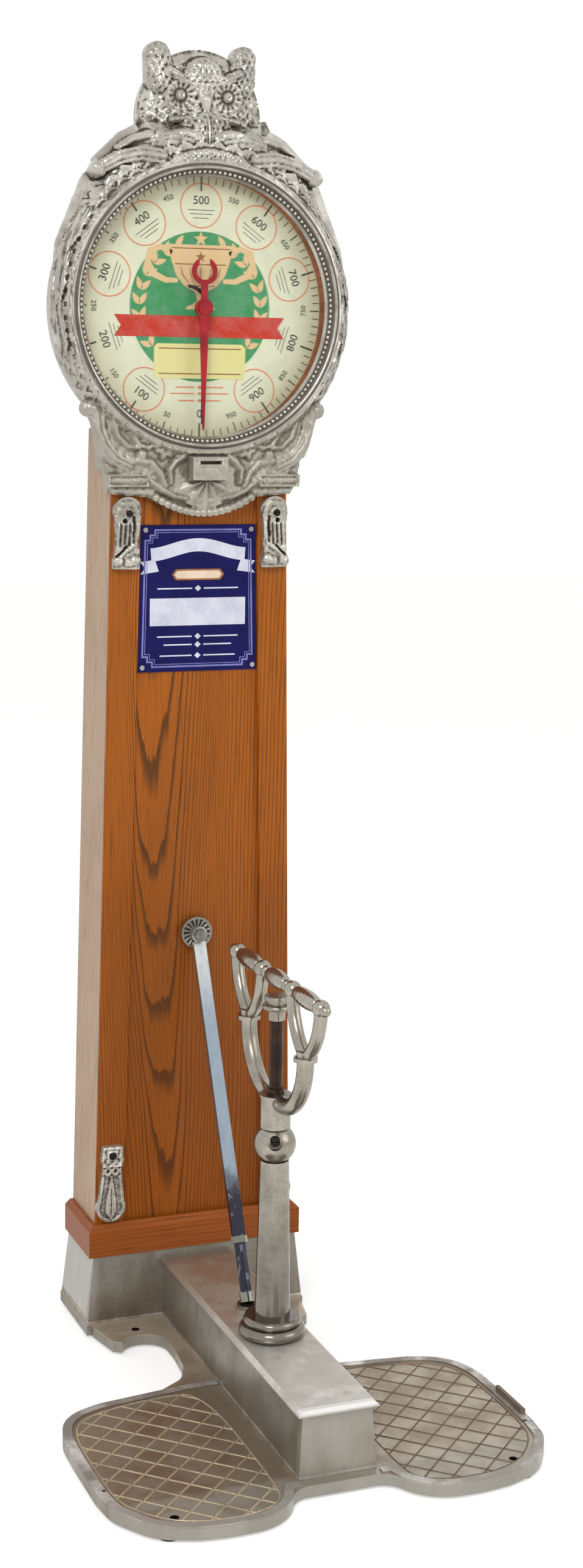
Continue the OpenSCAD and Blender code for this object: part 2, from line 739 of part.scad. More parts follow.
module crest_front_parts() {
  through_y(crest_front, cab_front) both_sides() crest_outline(0);
  through_y(crest_front - 10, crest_front) both_sides() crest_outline(16);
  both_sides() {
    bar_y(12, crest_front - 8, cab_front, knob_x, knob_z);
    bar_x(9, 84, cab_w_head / 2 + 13, crest_front + 1, plinth_z);
    dome_front(28, 14, 104, crest_front - 10, dial_z - 203);
  }
  block(-27, 27, box_front, crest_front, entry_z - 26, entry_z + 9);
  for (i = [0 : bead_count - 1]) {
    t = (i / (bead_count - 1) - 0.5) * 2;
    translate([t * 72, crest_front + 1, crest_z + 4 + 22 * t * t]) sphere(r = bead_r);
  }
}

// Sides of the crest that reach back along the cabinet
module crest_cheeks() both_sides() intersection() {
  through_y(cab_front, cab_front + 62) crest_outline(0);
  slab_xz([[half_w(crest_z) + clear, crest_z], [cheek_hw, crest_z], [cheek_hw, cab_top],
           [half_w(cab_top) + clear, cab_top]], 0, base_d);
  slab_yz([[0, crest_z], [cab_front + 6, crest_z], [cab_front + 26, crest_z + 60], [base_d, crest_z + 130],
           [base_d, 2 * crest_z], [0, 2 * crest_z]], 0, base_w);
}

module ring_section() polygon([[ring_in, 0], [head_r, 0], [head_r, 5], [head_r - 6, 13],
    [ring_in + 6, 34], [ring_in, 36]]);

module head_casting() color([0.76, 0.76, 0.74]) difference() {
  union() {
    translate([0, cab_front, dial_z]) rotate([90, 0, 0]) rotate_extrude() ring_section();
    difference() {
      union() {
        through_y(cab_front - 8, cab_front) both_sides() shoulder_outline(0);
        through_y(cab_front - 20, cab_front - 8) both_sides() shoulder_outline(14);
        through_y(cab_front - 30, cab_front - 20) both_sides() shoulder_outline(28);
        owl_front();
        crest_front_parts();
      }
      bar_y(ring_in + 1, 0, cab_front + 1, 0, dial_z);
    }
    difference() {
      crest_cheeks();
      bar_y(saddle_r, cab_front, base_d, 0, dial_z);
    }
  }
  bar_y(shell_r + clear, cab_front, base_d, 0, dial_z);
  owl_back(clear);
  block(-slot_w / 2, slot_w / 2, 0, crest_front + 2, entry_z - slot_h / 2, entry_z + slot_h / 2);
  block(-chute_w / 2, chute_w / 2, box_front + 6, cab_front + 1, duct_z0, duct_z1);
}

// Mirrors its children front to back about the plane y
module mirror_y(y) translate([0, 2 * y, 0]) mirror([0, 1, 0]) children();

// Back of the owl's head, grown by d
module owl_back(d) mirror_y(owl_y) dome_front(owl_r - 1 + d, 62 + d, 0, owl_y, owl_z);

module shell_section() {
  flange_y = dial_y + dial_t - cab_front;
  difference() {
    union() {
      square([shell_r, shell_d - 24]);
      square([shell_r - 24, shell_d]);
      translate([shell_r - 24, shell_d - 24]) circle(r = 24);
    }
    difference() {
      union() {
        square([shell_r - shell_t, shell_d - 24]);
        square([shell_r - 24, shell_d - shell_t]);
        translate([shell_r - 24, shell_d - 24]) circle(r = 24 - shell_t);
      }
      translate([dial_r - 3, flange_y]) square([shell_r, 4]);
    }
  }
}

module rear_shell() color([0.7, 0.7, 0.68]) difference() {
  union() {
    translate([0, cab_front, dial_z]) mirror([0, 1, 0]) rotate([90, 0, 0]) rotate_extrude() shell_section();
    difference() {
      owl_back(0);
      bar_y(shell_r - 1, 0, base_d, 0, dial_z);
      owl_back(-shell_t);
    }
  }
  translate([pinion_pr + 6, move_y, dial_z - shell_r - 10]) cylinder(r = 9, h = 40);
}

// Ring with a sloping face that holds the glass
module bezel_ring() color([0.7, 0.69, 0.66]) translate([0, glass_y, dial_z]) rotate([90, 0, 0])
  rotate_extrude() {
    polygon([[bezel_in, 0], [bezel_r, 0], [bezel_r, bezel_d], [bezel_r - 5, bezel_d], [bezel_in, 1.5]]);
    translate([bezel_r - 4, bezel_d - 1]) circle(r = 4);
  }

module dial_glass() color([0.8, 0.9, 0.9, 0.3])
  bar_y(bezel_r - 2, glass_y, glass_y + glass_t, 0, dial_z);

module dial_ring() color([0.5, 0.25, 0.1]) difference() {
  bar_y(bezel_r - 2, glass_y + glass_t, dial_y, 0, dial_z);
  bar_y(dial_r, glass_y, dial_y + 1, 0, dial_z);
}

bush_r = 8;
main_hand_y = glass_y + 8;
last_hand_y = glass_y + 14;
hand_t = 2;

module dial_plate() color([0.86, 0.89, 0.76]) difference() {
  bar_y(bezel_r, dial_y, dial_y + dial_t, 0, dial_z);
  bar_y(bush_r, 0, base_d, 0, dial_z);
}

module dial_bush() color([0.75, 0.6, 0.3]) difference() {
  union() {
    bar_y(bush_r, last_hand_y - 1.5, dial_y + dial_t, 0, dial_z);
    bar_y(2 * bush_r, dial_y + dial_t, dial_y + dial_t + 5, 0, dial_z);
  }
  bar_y(spindle_r + run_fit, 0, base_d, 0, dial_z);
}

// Bracket behind the dial that carries the spindle's rear end
module movement_bracket() color([0.6, 0.6, 0.6]) difference() {
  y0 = move_y + 8.5;
  union() {
    block(-44, 44, y0, y0 + 6, dial_z - 40, dial_z + 40);
    both_sides() for (z = [-30, 30]) bar_y(5, y0 + 6, back_y - shell_t, 34, dial_z + z);
    bar_y(10, y0 - 4, y0, 0, dial_z);
  }
  bar_y(spindle_r + run_fit, 0, base_d, 0, dial_z);
}

// Weighing springs and their anchor

crosshead_z = 900;
crosshead_t = 20;
spring_x = 60;
anchor_z = crosshead_z + 280;

module spring_anchor() color([0.4, 0.4, 0.42]) difference() {
  union() {
    slab_xz([[-half_w(anchor_z) + side_t, anchor_z], [half_w(anchor_z) - side_t, anchor_z],
             [half_w(anchor_z + 20) - side_t, anchor_z + 20], [-half_w(anchor_z + 20) + side_t, anchor_z + 20]],
            move_y - 10, move_y + 10);
    both_sides() translate([spring_x, move_y, anchor_z - 12]) cylinder(r = 6, h = 12);
  }
  translate([pinion_pr + 6, move_y, 0]) cylinder(r = 7, h = 2 * cab_top);
}

module scale_springs() color([0.5, 0.5, 0.55]) both_sides()
  translate([spring_x, move_y, crosshead_z + crosshead_t + 10]) difference() {
    cylinder(r = spring_r, h = anchor_z - crosshead_z - crosshead_t - 10);
    translate([0, 0, -1]) cylinder(r = spring_r - 5, h = anchor_z);
  }

// Coin path

chute_x = -62;
chute_foot = 440;
chute_y0 = cab_front + stile_t - 1;
trip_z = chute_foot - 34;

// Slanting duct behind the panel from y0 to y1, its sides and top drawn in by d
module chute_duct(d, y0, y1) {
  z0 = d > 0 ? chute_foot - 1 : chute_foot;
  slab_xz([[chute_x - chute_w / 2 + d, z0], [chute_x + chute_w / 2 - d, z0],
           [chute_w / 2 - d, duct_z1 - d], [-chute_w / 2 + d, duct_z1 - d]], y0, y1);
}

module coin_chute() color([0.55, 0.55, 0.5]) {
  wall = 1.5;
  coin_view_w = 7;
  back = chute_y0 + chute_t;
  difference() {
    union() {
      chute_duct(0, chute_y0, back);
      block(-chute_w / 2 + clear, chute_w / 2 - clear, box_front + 7, chute_y0 + 2,
          duct_z0 + clear, duct_z1 - clear);
    }
    chute_duct(wall, chute_y0 + wall, back - wall);
    chute_duct(chute_w / 2 - coin_view_w / 2, chute_y0 + wall, back + 1);
    block(-chute_w / 2 + wall + clear, chute_w / 2 - wall - clear, box_front + 6, chute_y0 + 4,
          duct_z0 + wall + clear, duct_z1 - wall - clear);
  }
  for (s = [-1, 1]) difference() {
    x = chute_x + s * (chute_w / 2 - 1);
    block(x - 1, x + 1, chute_y0, chute_y0 + chute_t + 12, trip_z - 8, chute_foot);
    bar_x(2 + run_fit, x - 3, x + 3, chute_y0 + chute_t + 6, trip_z);
  }
}

module coin_trip() color([0.75, 0.6, 0.3]) {
  y = chute_y0 + chute_t + 6;
  bar_x(2, chute_x - chute_w / 2, chute_x + chute_w / 2, y, trip_z);
  difference() {
    block(chute_x - 12, chute_x + 12, chute_y0 + 0.6, y + 26, trip_z - 1.5, trip_z + 1.5);
    block(chute_x - 20, chute_x + 20, y - 2.4, y + 2.4, trip_z - 5, trip_z + 5);
  }
  difference() {
    bar_x(4.5, chute_x - 12, chute_x + 12, y, trip_z);
    bar_x(2, chute_x - 13, chute_x + 13, y, trip_z);
  }
  bar_x(6, chute_x - 10, chute_x + 10, y + 28, trip_z);
}

module coin_box() color([0.5, 0.5, 0.45]) {
  x0 = -half_w(cab_z0 + 110) + side_t + 4;
  y0 = cab_front + stile_t + 3;
  y1 = cab_back - door_t - 8;
  z0 = cab_z0 + 12;
  difference() {
    block(x0, -24, y0, y1, z0, z0 + 90);
    block(x0 + 2, -26, y0 + 2, y1 - 2, z0 + 2, z0 + 100);
  }
}

// Lift rod and handle

// Rod through the post, with a shoulder on which the handle's hub pulls
module lift_rod() color([0.22, 0.15, 0.1]) translate([0, post_y, 0]) {
  translate([0, 0, clevis_top]) cylinder(r = rod_r, h = cap_z - 15 - clevis_top);
  translate([0, 0, hub_z + hub_h + clear]) cylinder(r = rod_r + 3, h = 8);
}

module rod_cap() color([0.82, 0.81, 0.78]) translate([0, post_y, 0]) {
  translate([0, 0, cap_z - 15]) cylinder(r = rod_r + 2.5, h = 15);
  translate([0, 0, cap_z]) rotate_extrude() {
    square([rod_r + 8, 7]);
    translate([rod_r + 8, 3.5]) circle(r = 3.5);
    square([rod_r + 4, 13]);
    translate([0, 13]) square([rod_r + 8, 6]);
  }
}

// Fork on the rod's lower end that holds the lever's front end by a pin
module rod_clevis() color([0.5, 0.5, 0.5]) {
  gap = lever_t / 2 + clear;
  difference() {
    translate([0, post_y, front_pin_z - 12]) cylinder(r = 19, h = clevis_top - front_pin_z + 12);
    block(-gap, gap, post_y - 30, post_y + 30, 0, front_pin_z + 15);
  }
  bar_x(joint_pin_r, -gap, gap, post_y, front_pin_z);
}

module torus_arc(bend, r, a0, a1) rotate([0, 0, a0])
  rotate_extrude(angle = a1 - a0) translate([bend, 0]) circle(r = r);

// Arc of tube in the plane of Y and Z round the point (y, z)
module tube_arc(bend, r, a0, a1, y, z) translate([0, y, z]) rotate([90, 0, 90]) torus_arc(bend, r, a0, a1);

module yoke() color([0.8, 0.79, 0.75]) translate([0, post_y, 0]) difference() {
  union() {
    translate([0, 0, hub_z]) cylinder(r = hub_r, h = hub_h);
    translate([0, 0, hub_z + hub_h - 4]) cylinder(r = hub_r + 1.5, h = 4);
    for (s = [-1, 1]) {
      y0 = s * (fork_y - arm_bend);
      if (s > 0) tube_arc(arm_bend, arm_r, -90, 0, y0, collar_z);
      else tube_arc(arm_bend, arm_r, 180, 270, y0, collar_z);
      bar_y(arm_r, min(0, y0), max(0, y0), 0, arm_z);
    }
  }
  translate([0, 0, hub_z - 10]) cylinder(r = rod_r + run_fit, h = hub_h + 60);
  translate([0, 0, hub_z + hub_h]) cylinder(r = rod_r + 3 + clear, h = 20);
}

prong_bend = 88;
prong_start = acos((prong_bend - prong_gap) / prong_bend);
bar_neck_r = 6;

// Collar and two prongs of the fork whose middle is at y
module fork(y) color([0.8, 0.79, 0.75]) translate([0, post_y + y, 0]) difference() {
  union() {
    translate([0, 0, collar_z]) cylinder(r = arm_r + 4.5, h = 6);
    translate([0, 0, collar_z + 6]) cylinder(r = arm_r + 0.5, h = 8);
    tube_arc(prong_bend, prong_r, -prong_start, 0, prong_gap - prong_bend, bar_z);
    tube_arc(prong_bend, prong_r, 180, 180 + prong_start, prong_bend - prong_gap, bar_z);
    for (s = [-1, 1]) translate([0, s * prong_gap, bar_z]) sphere(r = 12);
  }
  bar_y(bar_neck_r + run_fit, -2 * prong_gap, 2 * prong_gap, 0, bar_z);
  translate([0, 0, collar_z - 40]) cylinder(r = 30, h = 40);
}

module fork_front() fork(-fork_y);
module fork_rear() fork(fork_y);

// Bulb of radius r and half length h along Y, on the neck
function bulb(r, h, y) = [for (a = [0 : 15 : 180]) [bar_neck_r + (r - bar_neck_r) * sin(a), y - h * cos(a)]];

module crossbar() color([0.8, 0.79, 0.75]) translate([0, post_y, bar_z]) rotate([-90, 0, 0]) {
  eye = 12.4;
  side = prong_gap - eye;
  middle = fork_y - prong_gap - eye;
  rotate_extrude() polygon(concat(
    [[0, -fork_y - prong_gap - eye], [bar_neck_r, -fork_y - prong_gap - eye]],
    bulb(grip_r, side, -fork_y),
    bulb(9, 6, -middle + 6),
    bulb(grip_r, middle - 14, 0),
    bulb(9, 6, middle - 6),
    bulb(grip_r, side, fork_y),
    [[bar_neck_r, fork_y + prong_gap + eye], [0, fork_y + prong_gap + eye]]));
  for (s = [-1, 1]) translate([0, 0, s * (fork_y + prong_gap + eye + 2)]) sphere(r = 7.5);
}

// Lever train

module lever_bracket() color([0.45, 0.45, 0.46]) both_sides() {
  x0 = lever_t / 2 + clear;
  roof = channel_h - cast_t - 1;
  difference() {
    union() {
      block(x0, x0 + 7, lever_y - 15, lever_y + 15, lever_z - 14, roof);
      block(x0, x0 + 22, lever_y - 15, lever_y + 15, roof - 6, roof);
    }
    bar_x(6, 0, 40, lever_y, lever_z);
  }
}

module lever_pin() color([0.6, 0.6, 0.62]) {
  reach = lever_t / 2 + clear + 7;
  bar_x(6, -reach, reach, lever_y, lever_z);
  both_sides() bar_x(9, reach, reach + 4, lever_y, lever_z);
}

module lever_arm() color([0.42, 0.42, 0.43])
  translate([0, lever_y, lever_z]) rotate([lever_tilt, 0, 0]) difference() {
    union() {
      slab_yz([[-lever_front, -9], [0, -11], [lever_rear, -9], [lever_rear, 9], [0, 14], [-lever_front, 9]],
              -lever_t / 2, lever_t / 2);
      bar_x(10, -lever_t / 2, lever_t / 2, -lever_front, 0);
      bar_x(10, -lever_t / 2, lever_t / 2, lever_rear, 0);
    }
    bar_x(6 + run_fit, -20, 20, 0, 0);
    pin_slot(-lever_front);
    pin_slot(lever_rear);
  }

// Slot for a pin that moves a little along the lever
module pin_slot(y) {
  r = joint_pin_r + 0.4;
  for (s = [-3, 3]) bar_x(r, -20, 20, y + s, 0);
  block(-20, 20, y - 3, y + 3, -r, r);
}

module pull_rod() color([0.5, 0.5, 0.52]) {
  gap = lever_t / 2 + clear;
  translate([0, move_y, rear_pin_z + 20]) cylinder(r = pull_r, h = crosshead_z - rear_pin_z - 20);
  difference() {
    translate([0, move_y, rear_pin_z - 10]) cylinder(r = 15, h = 32);
    block(-gap, gap, move_y - 30, move_y + 30, 0, rear_pin_z + 14);
  }
  bar_x(joint_pin_r, -gap, gap, move_y, rear_pin_z);
}

module crosshead() color([0.45, 0.45, 0.47]) {
  block(-spring_x - 15, spring_x + 15, move_y - 9, move_y + 9, crosshead_z, crosshead_z + crosshead_t);
  both_sides() translate([spring_x, move_y, crosshead_z + crosshead_t]) cylinder(r = 6, h = 10);
}

rack_x = pinion_pr + 1.25 * tooth_module;
rack_z0 = dial_z - 16 * tooth_module;
tooth_pitch = PI * tooth_module;
rack_tooth_count = ceil((pull_travel + 30) / tooth_pitch);

// The rack's tooth crests point at the pinion, with a gap on the pinion's axis height
module rack() color([0.75, 0.62, 0.32]) {
  x1 = pinion_pr + 10;
  z1 = dial_z + (rack_tooth_count - 4.5) * tooth_pitch;
  translate([pinion_pr + 6, move_y, crosshead_z + crosshead_t])
    cylinder(r = 4, h = rack_z0 - crosshead_z - crosshead_t);
  block(rack_x, x1, move_y - 4, move_y + 4, rack_z0, z1);
  for (i = [-5 : rack_tooth_count - 6]) {
    z = dial_z + i * tooth_pitch;
    slab_xz([[rack_x, z - 0.95 * tooth_module], [rack_x, z + 0.95 * tooth_module],
             [pinion_pr - 0.7 * tooth_module, z + 0.28 * tooth_module],
             [pinion_pr - 0.7 * tooth_module, z - 0.28 * tooth_module]], move_y - 4, move_y + 4);
  }
}

// Straight-sided pinion tooth profile, turned so that a gap faces the rack
module pinion() color([0.78, 0.65, 0.35]) translate([0, move_y, dial_z]) rotate([90, 0, 0])
  linear_extrude(8, center = true) difference() {
    step = 360 / pinion_teeth;
    root = pinion_pr - 1.2 * tooth_module;
    tip = pinion_pr + 0.7 * tooth_module;
    polygon([for (i = [0 : pinion_teeth - 1]) for (p = [[root, -0.29], [tip, -0.1], [tip, 0.1], [root, 0.29]])
      let (a = (i + 0.5 + p[1]) * step) [p[0] * cos(a), p[0] * sin(a)]]);
    circle(r = spindle_r);
  }

module spindle() color([0.7, 0.7, 0.72]) {
  bar_y(spindle_r, main_hand_y, move_y + 18, 0, dial_z);
}

// Tapered blade that hangs down from the hub, with a shape above it
module hand_blade(y, r_in, r_out, length, w) difference() {
  union() {
    bar_y(r_out, y, y + hand_t, 0, dial_z);
    slab_xz([[-w / 2, dial_z], [w / 2, dial_z], [1.2, dial_z - length], [-1.2, dial_z - length]],
        y, y + hand_t);
    children();
  }
  bar_y(r_in, 0, base_d, 0, dial_z);
}

module main_pointer() color([0.68, 0.12, 0.13]) {
  horn = 19;
  y = main_hand_y;
  hand_blade(y, spindle_r, 13, dial_r - 12, 15) {
    slab_xz([[-5, dial_z], [5, dial_z], [5, dial_z + 36], [-5, dial_z + 36]], y, y + hand_t);
    translate([0, y + hand_t, dial_z + 32 + horn]) rotate([90, 0, 0]) linear_extrude(hand_t) difference() {
      circle(r = horn);
      circle(r = horn - 7);
      translate([-8, 4]) square([16, horn]);
    }
  }
  bar_y(9, y - 3, y, 0, dial_z);
}

module last_lift_hand() color([0.08, 0.08, 0.08]) {
  y = last_hand_y;
  hand_blade(y, bush_r + run_fit, bush_r + 4, dial_r - 20, 5)
    translate([-22, y + hand_t, dial_z]) rotate([90, 0, 0]) linear_extrude(hand_t) difference() {
      intersection() {
        circle(r = 32);
        polygon([[0, 4], [60, 4], [0, 60]]);
      }
      translate([-3, -3]) circle(r = 31);
    }
}

base_casting();
floor_pads();
edge_pad();
post_ring();
post_column();
post_ball();
ball_screw();
lever_bracket();
lever_pin();
left_side();
right_side();
left_stile();
right_stile();
front_panel();
skirt_boards();
cabinet_floor();
back_frame();
corbel_left();
corbel_right();
drop_ornament_left();
drop_ornament_right();
ornament_screws();
enamel_plate();
plate_screws();
brace_rosette();
brace_bolt();
brace_bar();
brace_nut();
brace_foot();
head_casting();
rear_shell();
bezel_ring();
dial_glass();
dial_ring();
dial_plate();
dial_bush();
movement_bracket();
spring_anchor();
scale_springs();
coin_chute();
coin_box();
hinge_leaves();
lift_rod();
rod_cap();
rod_clevis();
yoke();
fork_front();
fork_rear();
crossbar();
lever_arm();
pull_rod();
crosshead();
rack();
spindle();
pinion();
main_pointer();
last_lift_hand();
coin_trip();
back_door();
door_lock();
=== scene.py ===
"""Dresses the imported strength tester: cast relief, printed dial, enamel plate, treads and finishes."""

import json
import math

import bmesh
import bpy
import numpy as np
from mathutils import Matrix, Vector


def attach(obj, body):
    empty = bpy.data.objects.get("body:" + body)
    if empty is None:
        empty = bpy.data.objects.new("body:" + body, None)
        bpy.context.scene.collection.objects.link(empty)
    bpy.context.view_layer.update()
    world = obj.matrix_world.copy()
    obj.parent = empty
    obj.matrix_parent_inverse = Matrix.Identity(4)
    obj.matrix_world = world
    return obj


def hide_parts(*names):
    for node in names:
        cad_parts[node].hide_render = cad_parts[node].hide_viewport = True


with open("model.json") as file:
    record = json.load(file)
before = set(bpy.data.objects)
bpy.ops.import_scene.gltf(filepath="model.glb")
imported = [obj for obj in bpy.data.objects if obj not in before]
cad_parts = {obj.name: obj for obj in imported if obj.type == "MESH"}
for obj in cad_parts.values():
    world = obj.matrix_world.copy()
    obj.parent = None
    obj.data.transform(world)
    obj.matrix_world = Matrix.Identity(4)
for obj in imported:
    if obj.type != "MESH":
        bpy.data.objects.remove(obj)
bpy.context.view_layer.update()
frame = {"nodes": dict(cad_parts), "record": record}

bl_info = {
    "name": "Strength tester machine",
    "version": (1, 0, 0),
    "blender": (4, 5, 0),
    "location": "View3D > Sidebar > Strength tester",
    "description": "Cast relief, printed dial, enamel plate, treads and finishes of a strength tester",
    "category": "Object",
}

MM = 0.001

# Sizes of the part in millimetres, as its own source has them
CAB_FRONT = 269
CAB_Z0 = 123
CAB_TOP = 1350
CAB_HW_FOOT = 156.5
TAPER = 0.020375
STILE_W = 45
POST_Y = -69
PLATE_FRONT = -394
BASE_HW = 312
PLATE_TOP = 20
RIM_W = 13
CHANNEL_HW = 49
DIAL_Z = 1523
DIAL_Y = 275
HEAD_R = 223
HEAD_IN = 197.8
OWL_RISE = 263
OWL_R = 92
OWL_Y = 299
SIGN_TOP = 1216
SIGN_H = 213
SIGN_Y = 273.6
SIGN_GAP = 46.5
CORBEL_TOP = 1258
DROP_Z = 197
ORNAMENT_CELL = 0.9
ROSETTE_Z = 611
ROSETTE_CELL = 0.8
BOLT_HOLES = ((237, POST_Y - 282), (109, CAB_FRONT - 56))


def half_w(z):
    """Half width of the cabinet at height z."""
    return CAB_HW_FOOT - (z - CAB_Z0) * TAPER


def paint(red, green, blue):
    """Colour as a paint chart gives it, 0 to 255, turned into the linear values that Blender keeps."""
    parts = [c / 255 for c in (red, green, blue)]
    return tuple(c / 12.92 if c <= 0.04045 else ((c + 0.055) / 1.055) ** 2.4 for c in parts)


def colour_setting(name, description, rgb):
    """Colour property with a paint-chart default."""
    return bpy.props.FloatVectorProperty(
        name=name, description=description, default=paint(*rgb), size=3, min=0, max=1, subtype="COLOR"
    )


def length_setting(name, description, millimetres):
    """Length property in metres with a default given in millimetres."""
    return bpy.props.FloatProperty(
        name=name, description=description, default=millimetres * MM, min=0, unit="LENGTH"
    )


def number_setting(name, description, default):
    """Number property with a default."""
    return bpy.props.FloatProperty(name=name, description=description, default=default)


def group_setting(group, name, description):
    """Settings of one kind, kept together."""
    return bpy.props.PointerProperty(type=group, name=name, description=description)


class CastingSettings(bpy.types.PropertyGroup):
    """Sizes and colours of the cast relief."""

    cell: length_setting("Relief cell", "Size of the squares that carry the relief", 1.7)
    bright: colour_setting("Bright metal", "High places of the silvered casting", (202, 198, 188))
    # Dark colour of the hollows: partly old dirt, partly painted shade
    groove: colour_setting("Grooves", "Old dirt in the hollows of the casting", (84, 78, 68))


class MetalSettings(bpy.types.PropertyGroup):
    """Colours of the plain metal parts."""

    nickel: colour_setting("Nickel", "Polished handle and post", (172, 167, 156))
    nickel_worn: colour_setting("Worn nickel", "Dull places of the handle and post", (120, 112, 100))
    base: colour_setting("Base paint", "Silver paint of the base", (151, 147, 138))
    base_worn: colour_setting("Base dirt", "Brown dirt on the base", (130, 116, 98))
    shell: colour_setting("Shell", "Back of the head", (188, 184, 173))
    brace: colour_setting("Brace", "Brace bar", (150, 164, 176))
    rod: colour_setting("Rod", "Browned steel rod", (62, 40, 24))


class WoodSettings(bpy.types.PropertyGroup):
    """Colours of the cabinet's oak."""

    front_light: colour_setting("Front, light", "Light bands of the front boards", (184, 100, 26))
    front_dark: colour_setting("Front, dark", "Dark bands of the front boards", (98, 58, 22))
    side_light: colour_setting("Side, light", "Light bands of the side boards", (200, 170, 142))
    side_dark: colour_setting("Side, dark", "Dark bands of the side boards", (164, 128, 96))
    skirt_light: colour_setting("Skirt, light", "Light bands of the skirt boards", (166, 90, 38))
    skirt_dark: colour_setting("Skirt, dark", "Dark bands of the skirt boards", (116, 58, 24))


class DialSettings(bpy.types.PropertyGroup):
    """Layout and colours of the printed dial."""

    marks: bpy.props.IntProperty(
        name="Marks", description="Marks round the scale", default=100, min=20, max=200
    )
    top_value: bpy.props.IntProperty(
        name="Full scale", description="Value of one full turn", default=1000, min=100
    )
    ground: colour_setting("Ground", "Paper of the dial", (224, 226, 198))
    ink: colour_setting("Ink", "Marks and numbers", (44, 44, 36))
    ring: colour_setting("Rings", "Rings round the numbers", (222, 128, 88))
    disc: colour_setting("Disc", "Round field in the middle", (64, 146, 92))
    motif: colour_setting("Motif", "Cup and leaves", (222, 190, 140))
    shade: colour_setting("Motif shade", "Lines in the cup and leaves", (150, 104, 62))
    ribbon: colour_setting("Ribbon", "Bare ribbon below the motif", (196, 60, 44))
    plaque: colour_setting("Plaque", "Pale plate below the ribbon", (226, 218, 148))


class SignSettings(bpy.types.PropertyGroup):
    """Colours of the enamelled plate."""

    enamel: colour_setting("Enamel", "Deep blue ground", (28, 26, 92))
    border: colour_setting("Border", "Pale blue border", (134, 136, 196))
    white: colour_setting("White", "Ribbon and block", (226, 228, 240))
    cream: colour_setting("Cream", "Small panel", (246, 224, 204))
    gold: colour_setting("Gold", "Edge of the small panel", (176, 122, 74))


class TreadSettings(bpy.types.PropertyGroup):
    """Ribs on the foot plates."""

    pitch: length_setting("Pitch", "Distance between two ribs", 33)
    width: length_setting("Width", "Width of a rib", 2.6)
    rise: length_setting("Rise", "Height of a rib above the plate", 0.9)
    # Left ribs are light with wear and a painted highlight; right ribs are dark with painted shade
    light: colour_setting("Left ribs", "Worn ribs of the left plate", (206, 190, 158))
    dark: colour_setting("Right ribs", "Dirty ribs of the right plate", (92, 76, 58))


class StageSettings(bpy.types.PropertyGroup):
    """Floor, light and camera."""

    floor: colour_setting("Floor", "Pale floor", (238, 238, 236))
    world_level: number_setting("World level", "Soft light from all round", 0.62)
    key_power: number_setting("Key light", "Soft light from the upper left, in watts", 52)
    floor_glow: number_setting("Floor glow", "Light that the floor adds where it is seen", 0.44)
    lens: number_setting("Lens", "Focal length in millimetres", 52.74)


class TesterSettings(bpy.types.PropertyGroup):
    """All settings of the strength tester."""

    casting: group_setting(CastingSettings, "Casting", "Cast relief")
    metal: group_setting(MetalSettings, "Metal", "Plain metal")
    wood: group_setting(WoodSettings, "Wood", "Oak boards")
    dial: group_setting(DialSettings, "Dial", "Printed dial")
    sign: group_setting(SignSettings, "Sign", "Enamelled plate")
    tread: group_setting(TreadSettings, "Tread", "Foot plates")
    stage: group_setting(StageSettings, "Stage", "Floor and light")


def settings():
    """The scene's settings of the strength tester."""
    return bpy.context.scene.strength_tester


# Node trees


